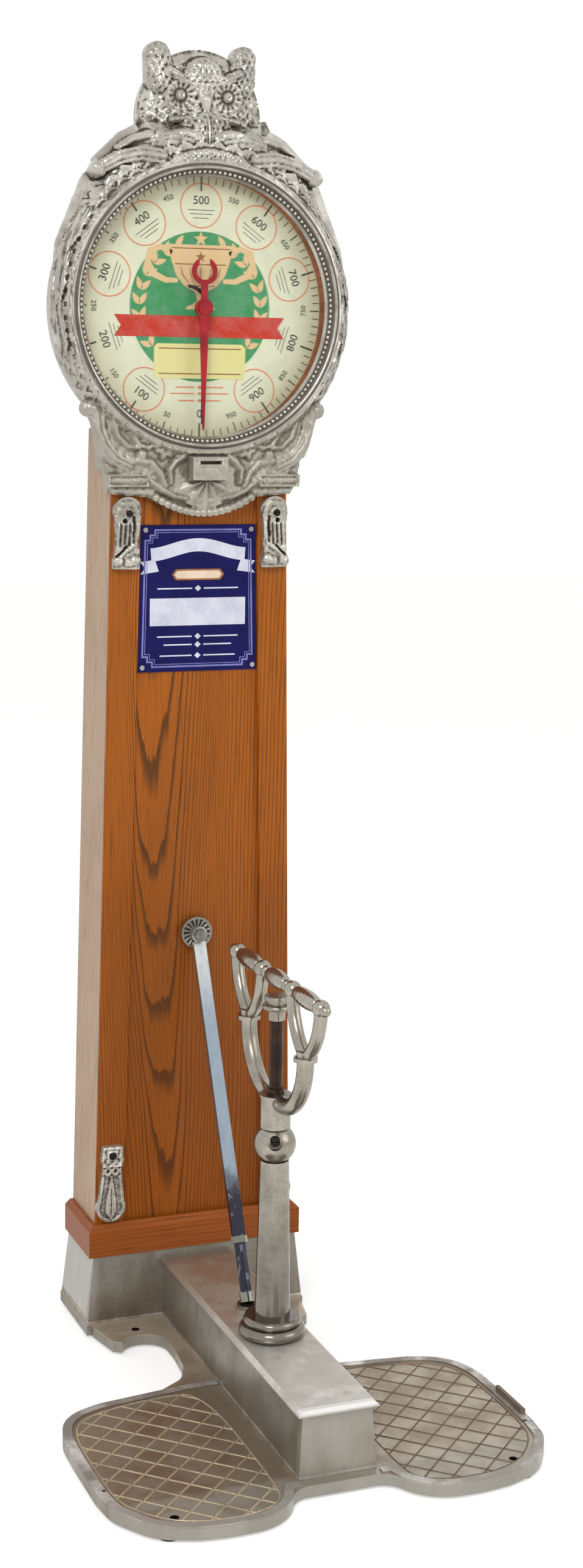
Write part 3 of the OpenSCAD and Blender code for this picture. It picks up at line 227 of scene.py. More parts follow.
class Tree:
    """Places and links nodes in one node tree."""

    def __init__(self, tree):
        self.tree = tree

    def feed(self, socket, value):
        """Links another socket to this one, or sets its plain value; a colour of three gets its alpha."""
        if isinstance(value, bpy.types.NodeSocket):
            self.tree.links.new(value, socket)
        elif hasattr(socket.default_value, "__len__") and len(socket.default_value) == 4 and len(value) == 3:
            socket.default_value = (*value, 1)
        else:
            socket.default_value = value

    def add(self, kind, inputs=None, **choices):
        node = self.tree.nodes.new(kind)
        for key, value in choices.items():
            setattr(node, key, value)
        for key, value in (inputs or {}).items():
            self.feed(node.inputs[key], value)
        return node

    def mix(self, factor, first, second):
        node = self.add("ShaderNodeMix", data_type="RGBA")
        for index, value in ((0, factor), (6, first), (7, second)):
            self.feed(node.inputs[index], value)
        return node.outputs[2]

    def cover(self, colour, mask, share, over):
        """Colour that another one covers by a share where the mask is 1."""
        return self.mix(self.times(mask, share), colour, over)

    def math(self, way, first, second=0.0):
        return self.add("ShaderNodeMath", {0: first, 1: second}, operation=way).outputs[0]

    def times(self, first, second):
        return self.math("MULTIPLY", first, second)

    def plus(self, first, second):
        return self.math("ADD", first, second)

    def minus(self, first, second):
        return self.math("SUBTRACT", first, second)

    def spread(self, value, low, high, to_low=0.0, to_high=1.0):
        """Smooth change from to_low to to_high while the value goes from low to high."""
        inputs = {"Value": value, "From Min": low, "From Max": high, "To Min": to_low, "To Max": to_high}
        return self.add("ShaderNodeMapRange", inputs, interpolation_type="SMOOTHSTEP").outputs[0]

    def window(self, value, first, second):
        """Two smooth changes of one value multiplied, each from 0 at its first number to 1 at its second."""
        return self.times(self.spread(value, *first), self.spread(value, *second))

    def noise(self, vector, scale, detail=4.0, roughness=0.55):
        inputs = {"Vector": vector, "Scale": scale, "Detail": detail, "Roughness": roughness}
        return self.add("ShaderNodeTexNoise", inputs).outputs[0]

    def stretch(self, vector, by):
        return self.add("ShaderNodeVectorMath", {0: vector, 1: by}, operation="MULTIPLY").outputs[0]

    def axes(self, vector):
        """X, Y and Z of a place."""
        place = self.add("ShaderNodeSeparateXYZ", {"Vector": vector}).outputs
        return place["X"], place["Y"], place["Z"]

    def reach(self, vector):
        """Distance of a place from the line along Y through the origin."""
        flat = self.stretch(vector, (1, 0, 1))
        return self.add("ShaderNodeVectorMath", {0: flat}, operation="LENGTH").outputs["Value"]

    def place(self, turn=(0, 0, 0), shift=(0, 0, 0)):
        """Object coordinates, turned or shifted."""
        coordinates = self.add("ShaderNodeTexCoord").outputs["Object"]
        inputs = {"Vector": coordinates, "Rotation": turn, "Location": shift}
        return self.add("ShaderNodeMapping", inputs).outputs[0]

    def dial_place(self):
        """Object coordinates from the dial's centre."""
        return self.place(shift=(0, 0, -DIAL_Z * MM))

    def seen(self):
        """1 for rays from the camera, mirrored ones and those through glass."""
        path = self.add("ShaderNodeLightPath").outputs
        mirrored_or_through = self.math("MAXIMUM", path["Is Glossy Ray"], path["Is Transmission Ray"])
        return self.math("MAXIMUM", path["Is Camera Ray"], mirrored_or_through)

    def effect(self, name, **inputs):
        """Places one of the shared effects and returns its outputs."""
        return self.add("ShaderNodeGroup", inputs, node_tree=EFFECTS[name]).outputs


class Finish(Tree):
    """Node tree of one material with a Principled surface, whose plain sockets get the given values."""

    def __init__(self, name, **plain):
        self.material = bpy.data.materials.new(name)
        self.material.use_nodes = True
        super().__init__(self.material.node_tree)
        self.sockets = next(n for n in self.tree.nodes if n.type == "BSDF_PRINCIPLED").inputs
        for key, value in plain.items():
            self.feed(self.sockets[key.replace("_", " ")], value)

    def coat(self, colour, roughness, height, distance, strength):
        """Gives the surface its colour, roughness and fine relief, and returns the material."""
        relief_inputs = {"Height": height, "Distance": distance, "Strength": strength}
        self.feed(self.sockets["Base Color"], colour)
        self.feed(self.sockets["Roughness"], roughness)
        self.feed(self.sockets["Normal"], self.add("ShaderNodeBump", relief_inputs).outputs[0])
        return self.material


SOCKET_KINDS = {"vector": "NodeSocketVector", "colour": "NodeSocketColor", "value": "NodeSocketFloat"}
EFFECTS = {}


def effect_group(name, inputs, outputs):
    """Shader node group with named sockets; returns its tree, its input sockets and its output node's."""
    tree = bpy.data.node_groups.new(name, "ShaderNodeTree")
    for way, sockets in (("INPUT", inputs), ("OUTPUT", outputs)):
        for label, kind in sockets.items():
            tree.interface.new_socket(label, in_out=way, socket_type=SOCKET_KINDS[kind])
    build = Tree(tree)
    given = build.add("NodeGroupInput").outputs
    return build, given, build.add("NodeGroupOutput").inputs


def wood_grain_group():
    """Oak with its grain along Z: nested arches round a middle line, straight lines elsewhere, pores."""
    arch_half_width = 0.036
    arches_per_metre = 6.4
    lines_per_metre = 150.0
    wander = 0.085
    pore_colour = (0.02, 0.01, 0.005, 1)
    inputs = {"Vector": "vector", "Light": "colour", "Dark": "colour", "Arches": "value", "Middle": "value",
              "Contrast": "value"}
    outputs = {"Color": "colour", "Roughness": "value", "Height": "value"}
    build, given, result = effect_group("Oak grain", inputs, outputs)
    vector, light, dark = given["Vector"], given["Light"], given["Dark"]
    x, _, z = build.axes(vector)
    hills = build.minus(build.noise(build.stretch(vector, (1, 1, 0.16)), 6.5, 2.0, 0.45), 0.5)
    ripple = build.noise(build.stretch(vector, (1, 1, 0.05)), 60.0, 3.0)
    off = build.math("ABSOLUTE", build.plus(build.minus(x, given["Middle"]), build.times(hills, wander)))
    near = build.math("DIVIDE", off, arch_half_width)
    bowl = build.math("POWER", build.math("MINIMUM", near, 1.0), 3.0)
    bowl = build.plus(bowl, build.times(build.math("MAXIMUM", build.minus(near, 1.0), 0.0), 3.0))
    climb = build.times(z, build.spread(off, 0.05, 0.1, arches_per_metre, 1.2))
    arches = build.minus(climb, build.times(bowl, 1.9))
    level = build.mix(given["Arches"], build.times(x, lines_per_metre), arches)
    level = build.plus(level, build.times(hills, 4.0))
    level = build.plus(level, build.times(ripple, 0.8))
    late = build.window(build.math("FRACT", level), (0.6, 0.9), (1.0, 0.95))
    core = build.times(build.spread(off, 0.055, 0.03), given["Arches"])
    late = build.times(late, build.spread(core, 0, 1, 0.7, 1.0))
    pores = build.spread(build.noise(build.stretch(vector, (1, 1, 0.022)), 700.0, 2.0, 0.7), 0.5, 0.72)
    slow = build.spread(build.noise(build.stretch(vector, (1, 1, 0.3)), 6.0, 4.0), 0.3, 0.72)
    colour = build.cover(light, slow, 0.75, build.mix(0.5, light, dark))
    colour = build.cover(colour, late, given["Contrast"], dark)
    colour = build.cover(colour, pores, 0.45, build.mix(0.7, dark, pore_colour))
    build.feed(result["Color"], colour)
    build.feed(result["Roughness"], build.spread(pores, 0, 1, 0.4, 0.62))
    build.feed(result["Height"], build.minus(1.0, pores))
    return build.tree


def mottle_group():
    """Two tones that run into each other in clouds, with fine specks."""
    inputs = {"Vector": "vector", "Light": "colour", "Dark": "colour", "Scale": "value", "Amount": "value"}
    outputs = {"Color": "colour", "Mask": "value", "Height": "value"}
    build, given, result = effect_group("Mottled finish", inputs, outputs)
    vector, scale = given["Vector"], given["Scale"]
    clouds = build.noise(vector, scale, 6.0, 0.62)
    fine = build.noise(vector, build.times(scale, 14.0), 3.0, 0.6)
    both = build.plus(build.times(clouds, 0.75), build.times(fine, 0.25))
    mask = build.times(build.spread(both, 0.38, 0.64), given["Amount"])
    build.feed(result["Color"], build.mix(mask, given["Light"], given["Dark"]))
    build.feed(result["Mask"], mask)
    build.feed(result["Height"], fine)
    return build.tree


def old_casting_group():
    """Silvered casting whose hollows, kept in the relief's own attribute, hold dark dirt and painted shade.
    """
    inputs = {"Vector": "vector", "Light": "colour", "Dark": "colour", "Depth": "value"}
    outputs = {"Color": "colour", "Mask": "value", "Height": "value"}
    build, given, result = effect_group("Old casting", inputs, outputs)
    light, dark = given["Light"], given["Dark"]
    hollow = build.add("ShaderNodeAttribute", attribute_name="hollow").outputs["Fac"]
    cast = build.noise(given["Vector"], 340.0, 4.0, 0.6)
    clouds = build.noise(given["Vector"], 26.0, 5.0, 0.6)
    # The hollows and cast specks get the dark colour: partly old dirt, partly painted shade in the recesses
    dirt = build.spread(build.plus(hollow, build.times(build.minus(cast, 0.5), 2.4)), -0.1, 1.7)
    dirt = build.times(dirt, given["Depth"])
    colour = build.cover(light, build.spread(clouds, 0.38, 0.58), 0.72, build.mix(0.45, light, dark))
    build.feed(result["Color"], build.mix(dirt, colour, dark))
    build.feed(result["Mask"], dirt)
    build.feed(result["Height"], cast)
    return build.tree


def strand_group():
    """Lines that run round the dial on the wings, painted dark as the shade in the grooves between feather
    strands; the dial's centre is the origin.
    """
    build, given, result = effect_group("Feather strands", {"Vector": "vector"}, {"Mask": "value"})
    x, _, z = build.axes(given["Vector"])
    reach = build.reach(given["Vector"])
    turn = build.math("ARCTAN2", build.math("ABSOLUTE", x), z)
    spot = build.add("ShaderNodeCombineXYZ", {"X": reach, "Y": build.times(turn, 0.022), "Z": 0.3}).outputs[0]
    lines = build.spread(build.noise(spot, 380.0, 2.0, 0.5), 0.5, 0.62)
    wing = build.window(turn, (0.55, 0.8), (2.1, 1.9))
    ring = build.window(reach, (0.198, 0.2), (0.226, 0.223))
    build.feed(result["Mask"], build.times(lines, build.times(wing, ring)))
    return build.tree


def wear_group():
    """Fine straight scratches and small dents, as a height and a mask."""
    outputs = {"Mask": "value", "Height": "value"}
    build, given, result = effect_group("Fine wear", {"Vector": "vector"}, outputs)
    streaks = build.noise(build.stretch(given["Vector"], (1, 1, 0.06)), 420.0, 3.0, 0.6)
    dents = build.noise(given["Vector"], 90.0, 5.0, 0.65)
    build.feed(result["Mask"], build.spread(streaks, 0.52, 0.7))
    build.feed(result["Height"], build.plus(build.times(streaks, 0.3), dents))
    return build.tree


# Materials


def casting_finish(name, light, dark, depth=1.0):
    """Silvered casting with dirt and painted shade in its hollows and painted shade along the wings' strands,
    duller and with less of that dark on the crest than above it.
    """
    build = Finish(name, Metallic=0.66)
    vector = build.place()
    crest = build.window(build.axes(vector)[2], (1.42, 1.36), (1.215, 1.235))
    share = build.times(build.spread(crest, 0, 1, 1.0, 0.72), depth)
    old = build.effect("casting", Vector=vector, Light=light, Dark=dark, Depth=share)
    strands = build.effect("strands", Vector=build.dial_place())["Mask"]
    colour = build.cover(old["Color"], crest, 0.55, paint(146, 140, 124))
    # Painted shade along the feather strands of the wings
    colour = build.cover(colour, strands, 0.75, dark)
    roughness = build.plus(build.spread(old["Mask"], 0, 1, 0.3, 0.62), build.times(crest, 0.12))
    return build.coat(colour, roughness, build.minus(old["Height"], strands), 0.0004, 0.5)


def bezel_finish():
    """Bezel metal, dark between its beads with old dirt and painted shade."""
    build = Finish("bezel_metal", Metallic=0.7)
    vector = build.dial_place()
    reach = build.reach(vector)
    inner = build.window(reach, (0.1826, 0.1836), (0.1904, 0.1892))
    outer = build.window(reach, (0.1932, 0.1938), (0.1972, 0.1966))
    groove = build.math("MAXIMUM", inner, outer)
    light, dark = paint(190, 187, 178), paint(128, 122, 110)
    tone = build.effect("mottle", Vector=vector, Light=light, Dark=dark, Scale=26.0, Amount=0.8)
    # The rings under the beads get a dark colour: old dirt and painted shade
    colour = build.mix(groove, tone["Color"], paint(98, 92, 82))
    return build.coat(colour, build.spread(groove, 0, 1, 0.26, 0.6), tone["Height"], 0.0002, 0.4)


def nickel_finish(name, light, dark, low=0.14, high=0.42):
    """Polished nickel with a painted reflection of a brown room at its edges, darker towards its foot."""
    build = Finish(name, Metallic=0.92)
    vector = build.place()
    tone = build.effect("mottle", Vector=vector, Light=light, Dark=dark, Scale=17.0, Amount=0.6)
    wear = build.effect("wear", Vector=vector)
    edge = build.spread(build.add("ShaderNodeLayerWeight", {"Blend": 0.5}).outputs["Facing"], 0.5, 0.92)
    foot = build.window(build.axes(vector)[2], (0.42, 0.18), (0.05, 0.1))
    colour = build.cover(tone["Color"], wear["Mask"], 0.2, dark)
    # Painted reflection: brown where the surface turns away from view
    colour = build.cover(colour, edge, 0.62, paint(66, 56, 46))
    # Darker towards the foot
    colour = build.cover(colour, foot, 0.55, paint(80, 76, 66))
    return build.coat(colour, build.spread(tone["Mask"], 0, 1, low, high), wear["Height"], 0.00012, 0.2)


def brace_finish():
    """Bar with a painted highlight towards its top, blue-black with streaks towards its foot."""
    build = Finish("brace_paint", Metallic=0.85)
    vector = build.place()
    height = build.axes(vector)[2]
    streaks = build.noise(build.stretch(vector, (1, 1, 0.12)), 120.0, 4.0, 0.6)
    low = build.plus(build.spread(height, 0.36, 0.2), build.times(build.minus(streaks, 0.5), 0.7))
    # Painted highlight: the bar turns almost white towards its top
    tone = build.mix(build.spread(height, 0.6, 0.48), paint(206, 208, 206), settings().metal.brace)
    tone = build.cover(tone, build.spread(streaks, 0.4, 0.65), 0.3, paint(104, 112, 122))
    worn = build.mix(build.spread(streaks, 0.56, 0.66), paint(54, 54, 66), paint(108, 112, 122))
    colour = build.mix(build.spread(low, 0.2, 0.7), tone, worn)
    return build.coat(colour, build.spread(streaks, 0.3, 0.7, 0.2, 0.36), streaks, 0.0002, 0.3)


def paint_finish(
    name, light, dark, scale=14.0, amount=0.9, metallic=0.35, rough=(0.38, 0.68), bump=0.0005, gloss=0.5
):
    """Two tones of one colour in clouds."""
    build = Finish(name, Metallic=metallic, Specular_IOR_Level=gloss)
    tone = build.effect("mottle", Vector=build.place(), Light=light, Dark=dark, Scale=scale, Amount=amount)
    return build.coat(tone["Color"], build.spread(tone["Mask"], 0, 1, *rough), tone["Height"], bump, 0.5)


def base_finish():
    """Silver paint: bright where shoes rub the edges, with a painted highlight on the rim and the channel's
    front lip; brown on the plates; dirt and painted shade in the low corners; painted light towards the
    plates' rear and the channel's front; painted shade in the bolt holes.
    """
    metal = settings().metal
    build = Finish("cast_base", Metallic=0.6)
    vector = build.place()
    x, y, z = build.axes(vector)
    light, dark = metal.base, metal.base_worn
    tone = build.effect("mottle", Vector=vector, Light=light, Dark=dark, Scale=9.0, Amount=0.6)
    cloud = build.spread(build.noise(build.stretch(vector, (1, 1, 0.3)), 16.0, 6.0, 0.65), 0.3, 0.66)

    # Plate tops: brown dirt in clouds, lighter on the right, and painted light towards the rear, where the
    # cabinet shades them
    plate_dirt_and_light = build.mix(build.spread(x, -0.12, 0.14), paint(146, 131, 112), paint(180, 168, 150))
    plate_dirt_and_light = build.cover(plate_dirt_and_light, cloud, 0.35, paint(112, 97, 80))
    plate_dirt_and_light = build.mix(build.spread(y, -0.06, 0.12, 0.0, 0.85), plate_dirt_and_light, paint(196, 182, 162))
    plate_top = build.window(z, (0.0214, 0.0206), (0.0188, 0.0198))
    colour = build.mix(plate_top, tone["Color"], plate_dirt_and_light)

    # Rim: bright where shoes rub it, and a painted highlight
    rubbed_rim_and_highlight = build.window(z, (0.0214, 0.0222), (0.0262, 0.0232))
    colour = build.cover(colour, rubbed_rim_and_highlight, build.spread(cloud, 1.0, 0.0, 0.7, 1.0), paint(240, 239, 236))
    # Low corners: brown dirt and painted shade
    low_corner_dirt_and_shade = build.window(z, (0.085, 0.024), (0.0206, 0.0215))
    low_corner_dirt_and_shade = build.times(low_corner_dirt_and_shade, build.spread(cloud, 0.0, 1.0, 0.25, 1.0))
    colour = build.cover(colour, low_corner_dirt_and_shade, 0.7, paint(96, 78, 58))

    # Channel top: brown dirt towards the rear and painted light towards the front
    channel_dirt_and_light = build.mix(build.spread(y, 0.2, -0.2), paint(178, 162, 142), paint(222, 220, 213))
    channel_dirt_and_light = build.cover(channel_dirt_and_light, cloud, 0.4, paint(148, 136, 118))
    before_cabinet = build.minus(1.0, build.spread(y, 0.2, 0.26))
    channel_top = build.spread(z, 0.1075, 0.1095)
    colour = build.cover(colour, channel_top, before_cabinet, channel_dirt_and_light)
    colour = build.cover(colour, build.spread(y, -0.296, -0.306), 0.45, paint(176, 173, 164))

    pits = build.spread(build.noise(vector, 75.0, 4.0, 0.7), 0.64, 0.76)
    colour = build.cover(colour, pits, 0.5, paint(58, 48, 40))
    lit_side = build.times(build.spread(x, -0.15, -0.164), build.spread(y, 0.24, 0.27))
    lit_side = build.times(lit_side, build.spread(z, 0.024, 0.03))
    colour = build.cover(colour, lit_side, 0.8, paint(196, 194, 188))
    # Painted highlight along the channel top's front lip
    front_lip_highlight = build.spread(y, -0.301, -0.303)
    colour = build.cover(colour, front_lip_highlight, build.spread(z, 0.109, 0.111), paint(232, 231, 227))

    aside = build.math("ABSOLUTE", x)
    # Painted shade: near-black discs at the bolt holes
    for bolt_x, bolt_y in BOLT_HOLES:
        across = build.math("POWER", build.minus(aside, bolt_x * MM), 2.0)
        ahead = build.math("POWER", build.minus(y, bolt_y * MM), 2.0)
        reach = build.math("SQRT", build.plus(across, ahead))
        colour = build.mix(build.spread(reach, 0.0066, 0.0058), colour, paint(20, 17, 15))
    return build.coat(colour, build.spread(cloud, 0, 1, 0.28, 0.6), tone["Height"], 0.0006, 0.5)


def wood_finish(name, light, dark, turn=(0, 0, 0), arches=0.0, contrast=0.8, foot=(0, 0, 0), foot_share=0.0):
    """Oak that gets the foot colour towards the floor."""
    build = Finish(name, Coat_Weight=0.08, Coat_Roughness=0.2, Specular_IOR_Level=0.15)
    vector = build.place(turn=turn)
    grain = build.effect(
        "wood", Vector=vector, Light=light, Dark=dark, Arches=arches, Middle=-0.046, Contrast=contrast
    )
    clouds = build.spread(build.noise(build.stretch(vector, (1, 1, 0.4)), 5.0, 4.0), 0.3, 0.7, 0.5, 1.0)
    low = build.times(build.spread(build.axes(build.place())[2], 0.95, 0.25), foot_share)
    colour = build.cover(grain["Color"], low, clouds, foot)
    return build.coat(colour, grain["Roughness"], grain["Height"], 0.0003, 0.35)


def glass_finish():
    """Clear glass of the dial."""
    build = Finish(
        "glass", Base_Color=(0.96, 0.98, 0.96), Roughness=0.02, Transmission_Weight=1.0, IOR=1.15, Alpha=0.14,
        Specular_IOR_Level=0.3,
    )
    build.material.surface_render_method = "BLENDED"
    return build.material


def print_finish(name, ink):
    """Flat print whose tone is a little uneven, as old ink is."""
    faded = tuple(c + (0.7 - c) * 0.12 for c in ink)
    return paint_finish(name, ink, faded, 60.0, 0.8, 0.0, rough=(0.45, 0.6), bump=0.00004, gloss=0.15)


def enamel_finish(name, light, dark):
    """Glossy enamel."""
    return paint_finish(name, light, dark, 30.0, 0.6, 0.0, rough=(0.14, 0.3), bump=0.00008, gloss=0.1)


def dial_ground_finish():
    """Cream-green dial, browner towards its edge."""
    build = Finish("dial_face", Metallic=0.0)
    vector = build.dial_place()
    light, dark = settings().dial.ground, paint(205, 206, 176)
    tone = build.effect("mottle", Vector=vector, Light=light, Dark=dark, Scale=22.0, Amount=0.5)
    edge = build.spread(build.reach(vector), 0.13, 0.19)
    colour = build.cover(tone["Color"], edge, 0.45, paint(188, 186, 148))
    return build.coat(colour, build.spread(tone["Mask"], 0, 1, 0.45, 0.6), tone["Height"], 0.00005, 0.3)


MATERIALS = {}


def make_materials():
    """One material for each slot of the part's record."""
    EFFECTS.update(
        wood=wood_grain_group(), mottle=mottle_group(), casting=old_casting_group(), wear=wear_group(),
        strands=strand_group(),
    )
    scene = settings()
    metal, wood, cast = scene.metal, scene.wood, scene.casting
    sideways = (0, math.radians(90), 0)
    rubber = {"metallic": 0.0, "rough": (0.6, 0.8)}
    steel = {"metallic": 0.8}
    sheet = {"scale": 8.0, "metallic": 0.6, "rough": (0.3, 0.5)}
    glossy_red = {"scale": 40.0, "metallic": 0.0, "rough": (0.22, 0.4), "gloss": 0.25}
    painted = {
        "foot_rubber": (paint(74, 62, 50), paint(48, 40, 34), rubber),
        "edge_rubber": (paint(124, 108, 92), paint(84, 70, 58), rubber),
        "shell_metal": (metal.shell, paint(150, 145, 134), sheet),
        "dark_screw": (paint(46, 42, 38), paint(24, 22, 20), {"metallic": 0.7}),
        "work_steel": (paint(150, 148, 144), paint(104, 100, 94), steel),
        "spring_steel": (paint(120, 118, 116), paint(80, 78, 76), steel),
        "rod_steel": (metal.rod, paint(34, 24, 18), {**sheet, "scale": 30.0}),
        "ring_brown": (paint(164, 84, 34), paint(112, 54, 22), {"metallic": 0.0, "rough": (0.25, 0.45)}),
        "brass": (paint(196, 160, 92), paint(150, 116, 60), {"metallic": 0.9, "rough": (0.2, 0.45)}),
        "tin": (paint(160, 160, 156), paint(120, 120, 116), steel),
        "pointer_red": (paint(176, 34, 44), paint(128, 20, 30), glossy_red),
        "hand_black": (paint(30, 28, 27), paint(18, 16, 16), {"metallic": 0.1}),
    }
    for name, (light, dark, more) in painted.items():
        MATERIALS[name] = paint_finish(name, light, dark, **more)
    MATERIALS.update(
        cast_base=base_finish(),
        nickel=nickel_finish("nickel", metal.nickel, metal.nickel_worn),
        bright_screw=nickel_finish("bright_screw", paint(190, 186, 176), paint(120, 112, 100)),
        silver_casting=casting_finish("silver_casting", cast.bright, cast.groove),
        bezel_metal=bezel_finish(),
        brace_paint=brace_finish(),
        oak_front=wood_finish("oak_front", wood.front_light, wood.front_dark, arches=1.0, contrast=1.0,
                              foot=paint(104, 44, 12), foot_share=0.3),
        oak_side=wood_finish("oak_side", wood.side_light, wood.side_dark, contrast=0.35),
        oak_skirt=wood_finish("oak_skirt", wood.skirt_light, wood.skirt_dark, turn=sideways, contrast=0.6),
        inner_wood=wood_finish("inner_wood", paint(178, 130, 84), paint(140, 96, 58), contrast=0.5),
        sign_enamel=enamel_finish("sign_enamel", scene.sign.enamel, paint(20, 18, 66)),
        glass=glass_finish(),
        dial_face=dial_ground_finish(),
    )


def finish_nodes():
    """Gives every node of the frame the finish of its slot."""
    for row in frame["record"]["subparts"]:
        node = frame["nodes"][row["node"]]
        if not node.material_slots:
            node.data.materials.append(None)
        for slot in node.material_slots:
            slot.material = MATERIALS[row["material_slot"]]


# Shapes


def add_piece(name, bm, material, sharp, body="root", replaces=()):
    """Turns a mesh in millimetres into a piece that rides on body; edges over sharp degrees stay hard."""
    bmesh.ops.transform(bm, matrix=Matrix.Scale(MM, 4), verts=bm.verts)
    bmesh.ops.recalc_face_normals(bm, faces=bm.faces)
    mesh = bpy.data.meshes.new(name)
    bm.to_mesh(mesh)
    bm.free()
    mesh.materials.append(material)
    mesh.polygons.foreach_set("use_smooth", [True] * len(mesh.polygons))
    mesh.set_sharp_from_angle(angle=math.radians(sharp))
    piece = bpy.data.objects.new(name, mesh)
    bpy.context.scene.collection.objects.link(piece)
    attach(piece, body)
    if replaces:
        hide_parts(*replaces)


def push_faces(bm, faces, vector):
    """Extrudes faces by a vector, so that flat outlines become closed plates."""
    grown = bmesh.ops.extrude_face_region(bm, geom=faces)
    moved = [v for v in grown["geom"] if isinstance(v, bmesh.types.BMVert)]
    bmesh.ops.translate(bm, vec=vector, verts=moved)


def plate(bm, points, y, thick):
    """Plate with its outline in X and Z, its back at y and its front thick further forward."""
    face = bm.faces.new([bm.verts.new((x, y, z)) for x, z in points])
    push_faces(bm, [face], (0, -thick, 0))


def band(bm, outer, inner, y, thick):
    """Flat band between two outlines that have the same number of points."""
    rims = [[bm.verts.new((x, y, z)) for x, z in points] for points in (outer, inner)]
    count = len(outer)
    faces = []
    for i in range(count):
        j = (i + 1) % count
        faces.append(bm.faces.new((rims[0][i], rims[0][j], rims[1][j], rims[1][i])))
    push_faces(bm, faces, (0, -thick, 0))


def circle(radius, x=0.0, z=0.0, count=64):
    """Points of a circle in X and Z."""
    angles = np.linspace(0, 2 * math.pi, count, endpoint=False)
    return [(x + radius * math.sin(a), z + radius * math.cos(a)) for a in angles]


def on_circle(radius, angle):
    """Place on a circle, with its angle in degrees clockwise from the top."""
    return radius * math.sin(math.radians(angle)), radius * math.cos(math.radians(angle))


def rectangle(x0, x1, z0, z1):
    """Corners of an upright rectangle."""
    return [(x0, z0), (x1, z0), (x1, z1), (x0, z1)]


def diamond(half_wide, half_high, z):
    """Corners of a diamond on the middle line."""
    return [(0, z + half_high), (half_wide, z), (0, z - half_high), (-half_wide, z)]


def turned(points, angle, x=0.0, z=0.0):
    """Points turned clockwise about the origin, then moved."""
    c, s = math.cos(math.radians(angle)), math.sin(math.radians(angle))
    return [(x + px * c + pz * s, z - px * s + pz * c) for px, pz in points]


def strip(path, half_widths):
    """Outline of a band of changing width along a path."""
    left, right = [], []
    for i, (x, z) in enumerate(path):
        (ax, az), (bx, bz) = path[max(i - 1, 0)], path[min(i + 1, len(path) - 1)]
        length = math.hypot(bx - ax, bz - az)
        nx, nz = -(bz - az) / length, (bx - ax) / length
        left.append((x + nx * half_widths[i], z + nz * half_widths[i]))
        right.append((x - nx * half_widths[i], z - nz * half_widths[i]))
    return left + right[::-1]


def leaf(length, width):
    """Pointed leaf that grows up from the origin."""
    side = [(width / 2 * math.sin(math.pi * t ** 0.8), length * t) for t in np.linspace(0, 1, 7)]
    return side + [(-x, z) for x, z in side[-2:0:-1]]


def star(radius, z):
    """Five-pointed star on the middle line."""
    points = []
    for i in range(10):
        reach = radius if i % 2 == 0 else radius * 0.42
        angle = i * math.pi / 5
        points.append((reach * math.sin(angle), z + reach * math.cos(angle)))
    return points


def mirrored(points):
    """The same outline on the other side of X = 0."""
    return [(-x, z) for x, z in reversed(points)]


def turn_over(bm):
    """Mirrors a mesh at X = 0."""
    bmesh.ops.transform(bm, matrix=Matrix.Scale(-1, 4, (1, 0, 0)), verts=bm.verts)


def letters(bm, text, size, turn, x, z, y, thick):
    """Number printed at a place on the dial, made a mesh before it is placed."""
    curve = bpy.data.curves.new("number", "FONT")
    curve.body = text
    curve.size = size
    curve.align_x = "CENTER"
    curve.align_y = "CENTER"
    curve.resolution_u = 3
    curve.extrude = thick / 2
    holder = bpy.data.objects.new("number", curve)
    mesh = bpy.data.meshes.new_from_object(holder)
    number = bmesh.new()
    number.from_mesh(mesh)
    bmesh.ops.remove_doubles(number, verts=number.verts, dist=0.001)
    upright = Matrix.Rotation(math.radians(turn), 4, "Y") @ Matrix.Rotation(math.radians(90), 4, "X")
    place = Matrix.Translation((x, y - thick / 2, z)) @ upright
    bmesh.ops.transform(number, matrix=place, verts=number.verts)
    number.to_mesh(mesh)
    number.free()
    bm.from_mesh(mesh)
    bpy.data.objects.remove(holder)
    bpy.data.curves.remove(curve)
    bpy.data.meshes.remove(mesh)


# Relief

# Height of places where a form is missing, and the lowest one that counts as metal
FAR_DOWN = -60.0
LOWEST_METAL = -35
# The rim takes its height from this far inside, and is never lower than this
RIM_INSET = 1.2
RIM_LOW = -20
# Old dirt and painted shade lie where the metal is lower than the mean of this reach
DIRT_AND_SHADE_REACH = 3.2


def step(low, high, value):
    """Smooth change from 0 to 1 between low and high."""
    t = np.clip((value - low) / (high - low), 0, 1)
    return t * t * (3 - 2 * t)


def merge_high(first, second, soft):
    """Higher of two heights with a soft valley between them."""
    h = np.clip(0.5 + 0.5 * (first - second) / soft, 0, 1)
    return second + (first - second) * h + soft * h * (1 - h)


def stretch_distance(x, z, start, end):
    """Distance of places to a straight stretch, and how far along it they lie, 0 to 1."""
    (ax, az), (bx, bz) = start, end
    ex, ez = bx - ax, bz - az
    t = np.clip(((x - ax) * ex + (z - az) * ez) / (ex * ex + ez * ez), 0, 1)
    return np.hypot(x - ax - t * ex, z - az - t * ez), t


def path_stretches(x, z, path, radii):
    """Each stretch of a path with the distance of places to it and the radius beside them."""
    radii = np.linspace(*radii, len(path))
    for start, end, ra, rb in zip(path, path[1:], radii, radii[1:]):
        distance, t = stretch_distance(x, z, start, end)
        yield start, end, distance, ra + (rb - ra) * t


def outline_distance(points, x, z):
    """Distance to a closed outline, negative inside it."""
    nearest = np.full(x.shape, 1e9)
    inside = np.zeros(x.shape, bool)
    for start, end in zip(points, points[1:] + points[:1]):
        nearest = np.minimum(nearest, stretch_distance(x, z, start, end)[0])
        (ax, az), (bx, bz) = start, end
        if az != bz:
            inside ^= ((az > z) != (bz > z)) & (x < ax + (z - az) / (bz - az) * (bx - ax))
    return np.where(inside, -nearest, nearest)


